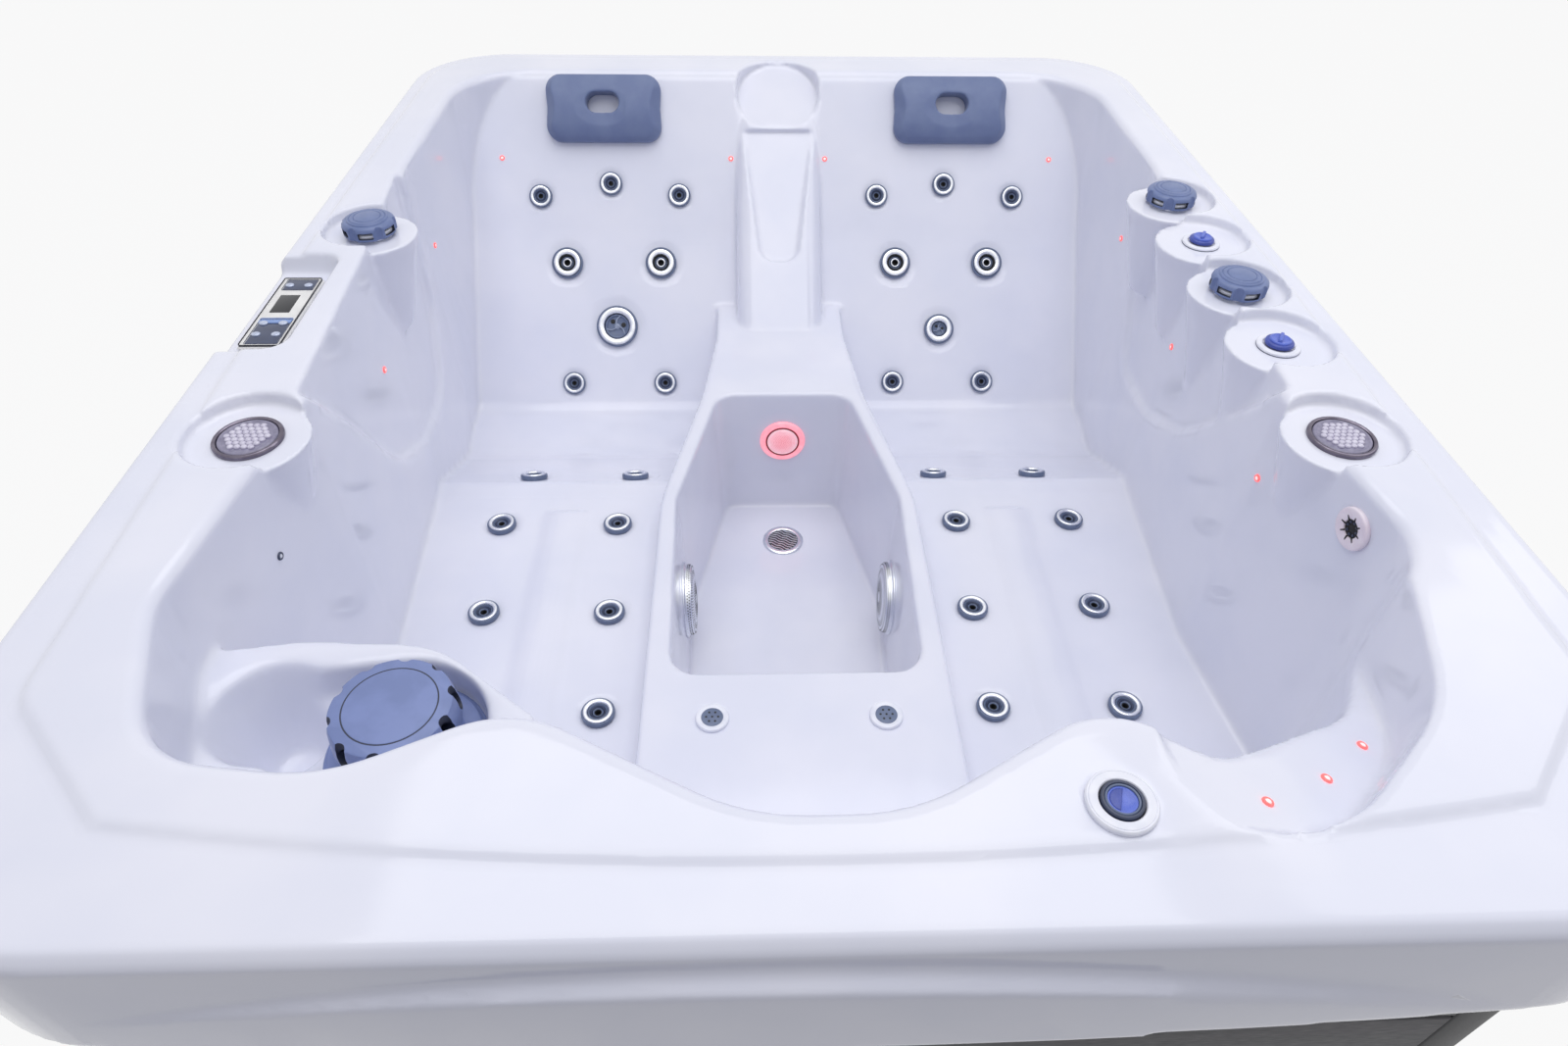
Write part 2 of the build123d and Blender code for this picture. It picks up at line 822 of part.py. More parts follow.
# Medium jets: a bored body, and a face whose nozzle turns in the bore
medium_body = stepped([(medium_jet[1], -60, 0), (medium_jet[0], 0, 5)], [(nozzle_bore, -36, 5)])
with BuildPart() as medium_jet_bodies:
    with Locations(medium_jet_planes):
        add(medium_body)
medium_jet_bodies.part.label = "medium_jet_bodies"
export_step(medium_jet_bodies.part, "parts/medium_jet_bodies.step")

nozzle_steps = [(nozzle_radius, -34, 5.5), (29, 5.5, 12)]
medium_nozzle = stepped(nozzle_steps, [(7, -2, 6), (18, 6, 12)])
for name, plane in zip(medium_jet_names, medium_jet_planes):
    nozzle = plane.location * medium_nozzle
    nozzle.label = f"medium_nozzle_{name}"
    export_step(nozzle, f"parts/medium_nozzle_{name}.step")

# Rotary jets: a bored body with a raised ring, and a rotor that spins on a bearing in the bore
with BuildPart() as rotary_jet_bodies:
    for plane, (flange, barrel), radius in zip(rotary_planes, (large_jet, small_rotary), rotor_radii):
        body_steps = [(barrel, -66, 0), (flange, 0, 5), (flange - 6, 5, 11)]
        body_bores = [(radius + 1.5, -40, 11), (rotor_shaft + 0.5, -60, -40)]
        with Locations(plane):
            add(stepped(body_steps, body_bores))
rotary_jet_bodies.part.label = "rotary_jet_bodies"
export_step(rotary_jet_bodies.part, "parts/rotary_jet_bodies.step")

for name, plane, radius in zip(rotary_names, rotary_planes, rotor_radii):
    with BuildPart() as rotor:
        add(stepped([(radius, -6, 3), (rotor_shaft, -58, -6)]))
        with BuildSketch(Plane.XY.offset(3)):
            with PolarLocations(0.55 * radius, 3):
                RegularPolygon(0.33 * radius, 6)
        extrude(amount=-9, mode=Mode.SUBTRACT)
    placed = plane.location * rotor.part
    placed.label = f"rotor_{name}"
    export_step(placed, f"parts/rotor_{name}.step")

# Air injectors in the front seat, and the lighting points
injector_piece = stepped([(injector[1], -30, 0), (injector[0], 0, 5)])
with BuildPart() as air_injectors:
    with Locations(injector_planes):
        add(injector_piece)
air_injectors.part.label = "air_injectors"
export_step(air_injectors.part, "parts/air_injectors.step")

with BuildPart() as led_points:
    for plane in led_planes:
        with BuildSketch(plane):
            RegularPolygon(led_radius, 6)
    extrude(amount=2.5, taper=30)
led_points.part.label = "led_points"
export_step(led_points.part, "parts/led_points.step")

# Footwell: lamp in its ring, floor drain with slots, and a domed suction cover on each side
light_step = 2
light_piece = stepped(
    [(light[1], -40, 0), (light[0], 0, 6)],
    [(light_lens_radius + 0.8, light_step, 6), (28, -34, light_step)],
    large_flats,
)
with BuildPart() as light_housing:
    with Locations(light_plane):
        add(light_piece)
light_housing.part.label = "light_housing"
export_step(light_housing.part, "parts/light_housing.step")

with BuildPart() as light_lens:
    with BuildSketch(light_plane.offset(light_step)):
        RegularPolygon(light_lens_radius, large_flats)
    extrude(amount=7, taper=30)
light_lens.part.label = "light_lens"
export_step(light_lens.part, "parts/light_lens.step")

with BuildPart() as floor_drain:
    with BuildSketch(drain_plane):
        RegularPolygon(drain[0], large_flats)
    extrude(amount=4, taper=30)
    with BuildSketch(drain_plane):
        RegularPolygon(drain[1], flats)
    extrude(amount=-28)
    with BuildSketch(drain_plane.offset(4)):
        with GridLocations(0, 12, 1, 5):
            Rectangle(46, 5)
    extrude(amount=-12, mode=Mode.SUBTRACT)
floor_drain.part.label = "floor_drain"
export_step(floor_drain.part, "parts/floor_drain.step")

with BuildPart() as suction_cover:
    with BuildSketch():
        RegularPolygon(suction[1], flats)
    extrude(amount=-40)
    with BuildSketch():
        RegularPolygon(suction[0], large_flats)
    extrude(amount=4)
    with BuildSketch(Plane.XY.offset(4)):
        RegularPolygon(suction[0] - 6, large_flats)
    extrude(amount=12, taper=40)
    with BuildSketch(Plane.XY.offset(16)):
        with PolarLocations(34, 6):
            Rectangle(26, 7)
    extrude(amount=-8, mode=Mode.SUBTRACT)
with BuildPart() as suction_covers:
    with Locations(suction_planes):
        add(suction_cover.part)
suction_covers.part.label = "suction_covers"
export_step(suction_covers.part, "parts/suction_covers.step")

inlet_piece = stepped([(inlet[1], -40, 0), (inlet[0], 0, 6)], [(13, -30, 6)])
with BuildPart() as return_fitting:
    with Locations(inlet_plane):
        add(inlet_piece)
return_fitting.part.label = "return_fitting"
export_step(return_fitting.part, "parts/return_fitting.step")

# Filter: collar on the well's floor, canister below, and a lobed lid that carries the cartridge
with BuildPart() as filter_collar:
    with Locations(filter_plane):
        add(stepped([(collar_radius, 0, collar_height)], [(filter_bore, 0, collar_height)], large_flats))
filter_collar.part.label = "filter_collar"
export_step(filter_collar.part, "parts/filter_collar.step")

canister = stepped(
    [(filter_bore + 6, -canister_deep, 0)], [(filter_bore, 6 - canister_deep, 0)], large_flats
)
with BuildPart() as filter_canister:
    with Locations(filter_plane):
        add(canister)
filter_canister.part.label = "filter_canister"
export_step(filter_canister.part, "parts/filter_canister.step")

with BuildPart() as filter_cartridge:
    with BuildSketch(Plane.XY.offset(lid_level)):
        with Locations((filter_x, filter_y)):
            RegularPolygon(cartridge_radius, cartridge_pleats)
            with PolarLocations(cartridge_radius, cartridge_pleats, 180 / cartridge_pleats):
                RegularPolygon(8, 3, mode=Mode.SUBTRACT)
    extrude(amount=-cartridge_long)
filter_cartridge.part.label = "filter_cartridge"
export_step(filter_cartridge.part, "parts/filter_cartridge.step")

with BuildPart() as filter_lid:
    with BuildSketch(Plane.XY.offset(lid_level)):
        with Locations((filter_x, filter_y)):
            RegularPolygon(lid_flange, large_flats)
    extrude(amount=6)
    with BuildSketch(Plane.XY.offset(lid_level + 6)):
        with Locations((filter_x, filter_y)):
            RegularPolygon(lid_radius - 8, 10)
    extrude(amount=lid_height - 38)
    with BuildSketch(Plane.XY.offset(lid_level + lid_height - 32)):
        with Locations((filter_x, filter_y)):
            RegularPolygon(lid_radius, 20)
            with PolarLocations(lid_radius + 2, 10):
                RegularPolygon(9, 6, mode=Mode.SUBTRACT)
    extrude(amount=32)
filter_lid.part.label = "filter_lid"
export_step(filter_lid.part, "parts/filter_lid.step")

# Diverters: a bright collar on a valve body, and a six-lobed knob that turns on it
diverter_body = stepped([(diverter[1], -55, 0), (diverter[0], 0, 5)], [(stem + 0.7, -20, 5)])
with BuildPart() as diverter_valves:
    with Locations(knob_planes):
        add(diverter_body)
diverter_valves.part.label = "diverter_valves"
export_step(diverter_valves.part, "parts/diverter_valves.step")

with BuildPart() as diverter_knob:
    with BuildSketch(Plane.XY.offset(5.5)):
        RegularPolygon(knob_radius, 18)
        with PolarLocations(knob_radius + 5, 6, 7.5):
            RegularPolygon(10, 6, mode=Mode.SUBTRACT)
    extrude(amount=22)
    with BuildSketch(Plane.XY.offset(27.5)):
        RegularPolygon(28, large_flats)
    extrude(amount=4, taper=30)
    with BuildSketch(Plane.XY.offset(-18)):
        RegularPolygon(stem, 12)
    extrude(amount=24)
for name, plane in zip(knob_names, knob_planes):
    knob = plane.location * diverter_knob.part
    knob.label = f"diverter_knob_{name}"
    export_step(knob, f"parts/diverter_knob_{name}.step")

# Air controls: a pale bezel on a slim valve body, and a small round knob with a grip bar
with BuildPart() as air_valves:
    with Locations(air_planes):
        add(stepped([(air_valve[1], -45, 0), (air_valve[0], 0, 5)]))
air_valves.part.label = "air_valves"
export_step(air_valves.part, "parts/air_valves.step")

with BuildPart() as air_knob:
    with BuildSketch(Plane.XY.offset(5.5)):
        RegularPolygon(air_knob_radius, flats)
    extrude(amount=9, taper=10)
    with BuildSketch(Plane.XY.offset(14.5)):
        Rectangle(28, 6)
    extrude(amount=4)
for name, plane in zip(air_knob_names, air_planes):
    knob = plane.location * air_knob.part
    knob.label = f"air_knob_{name}"
    export_step(knob, f"parts/air_knob_{name}.step")

# Pump button in a wide bezel, pressed against a spring
bezel = stepped([(button[1], -30, 0), (button[0], 0, 6)], [(button_radius + 1.1, -30, 6)])
with BuildPart() as button_bezel:
    with Locations(button_plane):
        add(bezel)
button_bezel.part.label = "button_bezel"
export_step(button_bezel.part, "parts/button_bezel.step")

with BuildPart() as pump_button:
    with Locations(button_plane):
        add(stepped([(button_radius, -20, 8)]))
pump_button.part.label = "pump_button"
export_step(pump_button.part, "parts/pump_button.step")

# Control panel on the left rim: housing, face with a sunk window, and six keys
face_level = housing_height - face_height
with BuildPart() as panel_housing:
    with BuildSketch(panel_plane):
        Rectangle(panel_wide, panel_long)
    extrude(amount=housing_height, taper=10)
    with BuildSketch(panel_plane.offset(face_level)):
        Rectangle(panel_wide - 12, panel_long - 12)
    extrude(amount=face_height, mode=Mode.SUBTRACT)
    with BuildSketch(panel_plane.offset(face_level)):
        with Locations(*key_places):
            RegularPolygon(key_radius + 0.5, 8)
    extrude(amount=-4, mode=Mode.SUBTRACT)
panel_housing.part.label = "panel_housing"
export_step(panel_housing.part, "parts/panel_housing.step")

with BuildPart() as panel_face:
    with BuildSketch(panel_plane.offset(face_level)):
        Rectangle(panel_wide - 12, panel_long - 12)
        with Locations(*key_places):
            RegularPolygon(key_radius + 0.5, 8, mode=Mode.SUBTRACT)
    extrude(amount=face_height)
    with BuildSketch(panel_plane.offset(housing_height)):
        with Locations((0, 22)):
            Rectangle(34, 52)
    extrude(amount=-0.8, mode=Mode.SUBTRACT)
panel_face.part.label = "panel_face"
export_step(panel_face.part, "parts/panel_face.step")

for number, place in enumerate(key_places, 1):
    with BuildPart() as panel_key:
        with BuildSketch(panel_plane.offset(face_level - 2)):
            with Locations(place):
                RegularPolygon(key_radius, 8)
        extrude(amount=6)
    panel_key.part.label = f"panel_key_{number}"
    export_step(panel_key.part, f"parts/panel_key_{number}.step")

# Rim lamps: a bright ring on a shallow cup, and a lens that sits in it
lamp_bore = (lamp_lens_radius + 0.5, 2, 6)
lamp_piece = stepped([(lamp[1], -30, 0), (lamp[0], 0, 6)], [lamp_bore], large_flats)
with BuildPart() as lamp_rings:
    with Locations(lamp_planes):
        add(lamp_piece)
lamp_rings.part.label = "lamp_rings"
export_step(lamp_rings.part, "parts/lamp_rings.step")

with BuildPart() as lamp_lenses:
    for plane in lamp_planes:
        with BuildSketch(plane.offset(2)):
            RegularPolygon(lamp_lens_radius, large_flats)
    extrude(amount=7, taper=40)
lamp_lenses.part.label = "lamp_lenses"
export_step(lamp_lenses.part, "parts/lamp_lenses.step")

# Headrests: a crowned cushion with drawn-in sides and an oval opening, on the upper backrest
pillow_corners = [
    (-pillow_half_x, -pillow_half_y, 34),
    (pillow_half_x, -pillow_half_y, 34),
    (pillow_half_x - pillow_waist, 0, 0),
    (pillow_half_x, pillow_half_y, 34),
    (-pillow_half_x, pillow_half_y, 34),
    (-pillow_half_x + pillow_waist, 0, 0),
]
pillow_side = rounded_prism(Plane.XY.offset(pillow_gap), pillow_corners, 0, 60)
pillow_edge = rounded_prism(Plane.XY.offset(pillow_gap), pillow_corners, 14, 60, 38)
with BuildPart() as pillow:
    add(pillow_side)
    add(pillow_edge, mode=Mode.INTERSECT)
    with BuildSketch(Plane.YZ.offset(-pillow_half_x)):
        with BuildLine():
            Line((-pillow_half_y, 0), (-pillow_half_y, 24))
            ThreePointArc((-pillow_half_y, 24), (-12, 44), (pillow_half_y, 20))
            Polyline((pillow_half_y, 20), (pillow_half_y, 0), (-pillow_half_y, 0))
        make_face()
    extrude(amount=2 * pillow_half_x, mode=Mode.INTERSECT)
    with BuildSketch():
        with Locations((0, 8)):
            SlotOverall(72, 44)
    extrude(amount=60, mode=Mode.SUBTRACT)
for name, side in (("left", -1), ("right", 1)):
    placed = backrest_plane(side * pillow_x, pillow_z).location * pillow.part
    placed.label = f"pillow_{name}"
    export_step(placed, f"parts/pillow_{name}.step")

# Circulation pump: motor on its foot, volute with an eye, and the impeller on the motor's shaft
pump_plane = Plane(origin=(pump_x, pump_y, pump_z), x_dir=(1, 0, 0), z_dir=(0, 1, 0))
motor_plane = pump_plane.offset(-pump_deep)
motor_piece = stepped([(motor_radius, -motor_long, 0)], [(pump_shaft + 0.7, -30, 0)])
with BuildPart() as pump_motor:
    with Locations(motor_plane):
        add(motor_piece)
    with BuildSketch(Plane.XY.offset(pan_floor)):
        with Locations((pump_x, pump_y - pump_deep - motor_long / 2)):
            Rectangle(120, 180)
    extrude(amount=pump_z - motor_radius)
pump_motor.part.label = "pump_motor"
export_step(pump_motor.part, "parts/pump_motor.step")

chamber = (impeller_radius + 8, 10 - pump_deep, -10)
shaft_hole = (pump_shaft + 0.7, -pump_deep, 10 - pump_deep)
volute = stepped([(pump_radius, -pump_deep, 0)], [chamber, (20, -10, 0), shaft_hole])
with BuildPart() as pump_housing:
    with Locations(pump_plane):
        add(volute)
    with BuildSketch(Plane.XY.offset(pan_floor)):
        with Locations((pump_x, pump_y - pump_deep / 2)):
            Rectangle(90, 60)
    extrude(amount=30)
pump_housing.part.label = "pump_housing"
export_step(pump_housing.part, "parts/pump_housing.step")

with BuildPart() as impeller:
    with BuildSketch(motor_plane.offset(14)):
        RegularPolygon(impeller_radius, flats)
    extrude(amount=4)
    with BuildSketch(motor_plane.offset(18)):
        RegularPolygon(14, 10)
        with PolarLocations(31, 5):
            Rectangle(38, 3)
    extrude(amount=20)
    with BuildSketch(motor_plane.offset(-28)):
        RegularPolygon(pump_shaft, 10)
    extrude(amount=42)
impeller.part.label = "impeller"
export_step(impeller.part, "parts/impeller.step")

# Heater, control box and air blower on the tray
with BuildPart() as heater:
    with BuildSketch(Plane(origin=(-heater_long / 2, heater_y, pump_z), x_dir=(0, 1, 0), z_dir=(1, 0, 0))):
        RegularPolygon(heater_radius, flats)
    extrude(amount=heater_long)
    with BuildSketch(Plane.XY.offset(pan_floor)):
        with Locations((-130, heater_y), (130, heater_y)):
            Rectangle(24, 50)
    extrude(amount=pump_z - heater_radius)
heater.part.label = "heater"
export_step(heater.part, "parts/heater.step")

with BuildPart() as control_box:
    with BuildSketch(Plane.XY.offset(pan_floor)):
        with Locations((0, -800)):
            Rectangle(300, 130)
    extrude(amount=220)
    with BuildSketch(Plane.XY.offset(pan_floor + 190)):
        with Locations((0, -800)):
            Rectangle(312, 142)
    extrude(amount=12)
control_box.part.label = "control_box"
export_step(control_box.part, "parts/control_box.step")

blower = stepped([(blower_radius, 0, 150), (60, 150, blower_high)])
with BuildPart() as air_blower:
    with Locations((blower_x, air_y, pan_floor)):
        add(blower)
air_blower.part.label = "air_blower"
export_step(air_blower.part, "parts/air_blower.step")


# Pipework: runs between the suctions, the pump, the heater and the ring that feeds the jets
def pipe(plane, points, radius):
    """Pipe of straight runs with mitred elbows, along points on a plane."""
    with BuildPart() as run:
        with BuildLine(plane) as route:
            Polyline(*points)
        start = Plane(origin=route.line @ 0, z_dir=route.line % 0)
        with BuildSketch(start):
            RegularPolygon(radius, pipe_flats)
        sweep(path=route.line, transition=Transition.RIGHT)
    return run.part


pump_level = Plane.XY.offset(pump_z)
suction_pipe_plane = Plane(origin=(0, suction_y, 0), x_dir=(1, 0, 0), z_dir=(0, -1, 0))
air_plane = Plane(origin=(0, air_y, 0), x_dir=(1, 0, 0), z_dir=(0, -1, 0))
suction_loop = [
    (suction_end, suction_z),
    (300, suction_z),
    (300, 58),
    (pump_x, 58),
    (pump_x, suction_z),
    (-suction_end, suction_z),
]
outlet_y = pump_y - pump_deep / 2
outlet = [
    (pump_x - pump_radius, outlet_y),
    (-ring_x, outlet_y),
    (-ring_x, heater_y),
    (-heater_long / 2, heater_y),
]
feed_ring = [
    (heater_long / 2, heater_y),
    (ring_x, heater_y),
    (ring_x, ring_y),
    (-ring_x, ring_y),
    (-ring_x, -100),
]
drain_run = [(0, 128), (drain_valve_x, 128), (drain_valve_x, 62 - panel_outer_y)]
air_run = [(blower_x, pan_floor + blower_high), (blower_x, 300), (-124, 300), (-124, 360)]
pipe_runs = [
    pipe(suction_pipe_plane, suction_loop, pipe_radius),
    pipe(pump_level, outlet, pipe_radius),
    pipe(pump_level, feed_ring, pipe_radius),
    pipe(Plane.XY.offset(drain_valve_z), drain_run, hose_radius),
    pipe(air_plane, air_run, hose_radius),
]
with BuildPart() as pipework:
    add(pipe_runs)
    with BuildSketch(pump_plane):
        RegularPolygon(pipe_radius, pipe_flats)
    extrude(amount=suction_y - pump_y)
    with BuildSketch(level_plane(124, air_y, 300)):
        RegularPolygon(hose_radius, pipe_flats)
    extrude(amount=60)
pipework.part.label = "pipework"
export_step(pipework.part, "parts/pipework.step")

# Drain valve through the front panel, and its cap
drain_body = stepped([(17, -62, 0), (26, 0, 4)], [(9, -50, 4)])
with BuildPart() as drain_valve:
    with Locations(drain_valve_plane):
        add(drain_body)
drain_valve.part.label = "drain_valve"
export_step(drain_valve.part, "parts/drain_valve.step")

drain_plug = stepped([(22, 4.5, 20), (8, -10, 4.5)], sides=10)
with BuildPart() as drain_cap:
    with Locations(drain_valve_plane):
        add(drain_plug)
drain_cap.part.label = "drain_cap"
export_step(drain_cap.part, "parts/drain_cap.step")
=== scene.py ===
"""Looks of a hot tub with two loungers: pearl white acrylic shell, jets, rim controls, headrests
and a cabinet of dark planks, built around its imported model."""

import json
from math import atan2, cos, pi, radians, sin, tan

import bpy
from mathutils import Matrix, Vector

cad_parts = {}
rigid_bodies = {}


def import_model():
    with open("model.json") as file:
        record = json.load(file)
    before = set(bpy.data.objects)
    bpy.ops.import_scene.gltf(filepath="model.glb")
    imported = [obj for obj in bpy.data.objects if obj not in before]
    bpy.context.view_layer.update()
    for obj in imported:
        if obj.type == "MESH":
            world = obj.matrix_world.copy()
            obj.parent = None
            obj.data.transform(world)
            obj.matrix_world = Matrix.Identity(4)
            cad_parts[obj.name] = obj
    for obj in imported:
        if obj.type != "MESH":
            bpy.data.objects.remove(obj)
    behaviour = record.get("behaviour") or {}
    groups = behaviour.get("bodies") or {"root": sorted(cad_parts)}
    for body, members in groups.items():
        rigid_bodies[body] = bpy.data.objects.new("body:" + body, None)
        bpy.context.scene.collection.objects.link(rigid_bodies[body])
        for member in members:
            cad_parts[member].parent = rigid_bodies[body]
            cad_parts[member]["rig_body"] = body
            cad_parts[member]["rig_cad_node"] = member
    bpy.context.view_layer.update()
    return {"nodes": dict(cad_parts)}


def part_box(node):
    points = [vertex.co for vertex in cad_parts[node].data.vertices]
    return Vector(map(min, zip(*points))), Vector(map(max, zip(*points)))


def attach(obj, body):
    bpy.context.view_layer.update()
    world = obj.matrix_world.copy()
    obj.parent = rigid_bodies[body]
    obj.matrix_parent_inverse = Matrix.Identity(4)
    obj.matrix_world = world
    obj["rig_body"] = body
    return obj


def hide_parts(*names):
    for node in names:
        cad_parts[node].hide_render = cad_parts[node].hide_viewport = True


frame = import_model()
nodes = frame["nodes"]

# Shell: one sheet of cast acrylic, heated, drawn into a mould by vacuum and backed with glass fibre.
# The mould leaves every corner soft and the face glossy. Pearl pigment lies in it in faint long veins.


def linear(colour):
    """Linear colour of an sRGB hex code."""
    parts = [int(colour[i : i + 2], 16) / 255 for i in (1, 3, 5)]
    return [p / 12.92 if p <= 0.04045 else ((p + 0.055) / 1.055) ** 2.4 for p in parts] + [1]


def node(tree, kind, values=None, links=None, **settings):
    """Adds a node to a material with its settings, input values and links to other nodes' outputs."""
    made = tree.nodes.new(kind)
    for name, value in settings.items():
        setattr(made, name, value)
    for name, value in (values or {}).items():
        made.inputs[name].default_value = value
    for name, (other, output) in (links or {}).items():
        tree.links.new(other.outputs[output], made.inputs[name])
    return made


def finish(name, colour, shade, patch, grain, relief, spread, **values):
    """Material with shader inputs by name, their colours as hex codes. Its own colour drifts to a shade
    in patches of a size in mm, and a grain of a size and depth in mm gives it relief and spreads its
    roughness."""
    material = bpy.data.materials.new(name)
    material.use_nodes = True
    tree = material.node_tree
    shader = tree.nodes["Principled BSDF"]
    for key, value in values.items():
        setting = linear(value) if isinstance(value, str) else value
        shader.inputs[key.replace("_", " ")].default_value = setting
    spot = node(tree, "ShaderNodeTexCoord")
    on_piece = {"Vector": (spot, "Object")}
    broad = node(tree, "ShaderNodeTexNoise", {"Scale": 1000 / patch, "Detail": 3.0}, on_piece)
    shades = node(tree, "ShaderNodeValToRGB", links={"Fac": (broad, "Fac")})
    for stop, place, tone in zip(shades.color_ramp.elements, (0.38, 0.64), (shade, colour)):
        stop.position = place
        stop.color = linear(tone)
    fine = node(tree, "ShaderNodeTexNoise", {"Scale": 1000 / grain, "Detail": 2.0}, on_piece)
    rough = shader.inputs["Roughness"].default_value
    gloss = node(
        tree,
        "ShaderNodeMapRange",
        {"From Min": 0.3, "From Max": 0.7, "To Min": rough - spread, "To Max": rough + spread},
        {"Value": (fine, "Fac")},
    )
    depth = {"Strength": 1.0, "Distance": relief / 1000}
    bump = node(tree, "ShaderNodeBump", depth, {"Height": (fine, "Fac")})
    tree.links.new(shades.outputs["Color"], shader.inputs["Base Color"])
    tree.links.new(gloss.outputs["Result"], shader.inputs["Roughness"])
    tree.links.new(bump.outputs["Normal"], shader.inputs["Normal"])
    return material


def alone(piece):
    """Makes a piece the only one selected."""
    bpy.ops.object.select_all(action="DESELECT")
    piece.hide_viewport = False
    piece.select_set(True)
    bpy.context.view_layer.objects.active = piece


def apply(piece, kind, **settings):
    """Puts a modifier on a piece and applies it."""
    alone(piece)
    modifier = piece.modifiers.new(kind, kind)
    for name, value in settings.items():
        setattr(modifier, name, value)
    bpy.ops.object.modifier_apply(modifier=modifier.name)


def joined(name, pieces):
    """Joins pieces into one, under a name."""
    alone(pieces[0])
    for piece in pieces:
        piece.select_set(True)
    if len(pieces) > 1:
        bpy.ops.object.join()
    pieces[0].name = name
    pieces[0].data.name = name
    return pieces[0]


def copied(piece, name, place):
    """Copy of a piece with its own mesh, moved to a place."""
    copy = piece.copy()
    copy.data = piece.data.copy()
    copy.name = name
    bpy.context.scene.collection.objects.link(copy)
    copy.data.transform(place)
    return copy


def from_node(name):
    """Copy of a CAD node's mesh with its loose triangles merged."""
    piece = copied(nodes[name], name + "_finish", Matrix())
    piece.parent = None
    piece.hide_render = False
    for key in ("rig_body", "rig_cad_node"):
        del piece[key]
    alone(piece)
    bpy.ops.object.mode_set(mode="EDIT")
    bpy.ops.mesh.select_all(action="SELECT")
    bpy.ops.mesh.remove_doubles(threshold=1e-5)
    bpy.ops.object.mode_set(mode="OBJECT")
    piece.data.materials.clear()
    return piece


def turned(name, profile, material, sides=48, edge=0.4):
    """Round piece built up from a disc, from steps that are each a radius and a height in mm."""
    bpy.ops.object.select_all(action="DESELECT")
    radius, level = profile[0]
    bpy.ops.mesh.primitive_circle_add(
        vertices=sides, radius=radius / 1000, fill_type="NGON", location=(0, 0, level / 1000)
    )
    piece = bpy.context.object
    piece.name = name
    bpy.ops.object.transform_apply()
    bpy.ops.object.mode_set(mode="EDIT")
    bpy.ops.mesh.select_all(action="SELECT")
    for next_radius, next_level in profile[1:]:
        rise = (next_level - level) / 1000
        bpy.ops.mesh.extrude_region_move(TRANSFORM_OT_translate={"value": (0, 0, rise)})
        grow = next_radius / radius
        bpy.ops.transform.resize(value=(grow, grow, 1), center_override=(0, 0, 0))
        radius, level = next_radius, next_level
    bpy.ops.mesh.select_all(action="SELECT")
    bpy.ops.mesh.normals_make_consistent(inside=False)
    bpy.ops.object.mode_set(mode="OBJECT")
    if edge:
        apply(piece, "BEVEL", width=edge / 1000, segments=2, limit_method="ANGLE")
    bpy.ops.object.shade_smooth_by_angle(angle=radians(35))
    piece.data.materials.append(material)
    return piece


def ready(piece, body, slot, *replaced):
    """Puts a finished piece on its body, in place of CAD nodes, which it hides. The slot is not used."""
    if replaced:
        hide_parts(*replaced)
    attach(piece, body)


# Lines of the mould that carry the fittings, in mm. The backrest steepens at its bend, and the thigh
# ramp falls from the knee to the seat. A place has its Z out of the surface.
back_bend = (707, 509)
back_top = (893, 795)
back_slope = radians(51)
knee = (45, 336)
ramp_foot = (290, 205)
leg_floor = 330


def at(x, y, z, normal):
    """Place at a point in mm, turned so that Z is the normal and X stays level."""
    outward = Vector(normal).normalized()
    along = Vector((0, 0, 1)).cross(outward)
    if along.length < 1e-6:
        along = Vector((1, 0, 0))
    along.normalize()
    across = outward.cross(along)
    turn = Matrix((along, across, outward)).transposed().to_4x4()
    return Matrix.Translation(Vector((x, y, z)) / 1000) @ turn


def on_backrest(x, z):
    """Place on the backrest at a height."""
    slope = back_slope
    if z > back_bend[1]:
        slope = atan2(back_top[1] - back_bend[1], back_top[0] - back_bend[0])
    return at(x, back_bend[0] + (z - back_bend[1]) / tan(slope), z, (0, -sin(slope), cos(slope)))


def on_ramp(x, y):
    """Place on the thigh ramp."""
    fall = atan2(knee[1] - ramp_foot[1], ramp_foot[0] - knee[0])
    return at(x, y, knee[1] - (y - knee[0]) * tan(fall), (0, sin(fall), cos(fall)))


def level(x, y, z):
    """Place that faces up."""
    return at(x, y, z, (0, 0, 1))


small_jets = [on_backrest(s * x, z) for s in (-1, 1) for x, z in ((224, 585), (377, 606), (535, 583))]
small_jets += [on_backrest(s * x, 252) for s in (-1, 1) for x in (262, 470)]
small_jets += [on_ramp(s * x, 92) for s in (-1, 1) for x in (292, 488)]
leg_jets = [(309, -67), (518, -65), (302, -282), (508, -280), (298, -485), (500, -487)]
small_jets += [level(s * x, y, leg_floor) for s in (-1, 1) for x, y in leg_jets]
medium_names = ["left_inner", "left_outer", "right_inner", "right_outer"]
medium_jets = [on_backrest(s * x, 463) for s in (-1, 1) for x in (268, 480)]
rotary_jets = [on_backrest(-370, 352), on_backrest(370, 346)]

# Cast acrylic, pressed glossy by the heat: a mirror skin with a slow ripple, over faint pearl clouds
pearl = finish(
    "cast_acrylic_pearl", "#E9EAF5", "#E3E5F2", 190, 60, 0.012, 0.02, Roughness=0.10, IOR=1.49
)

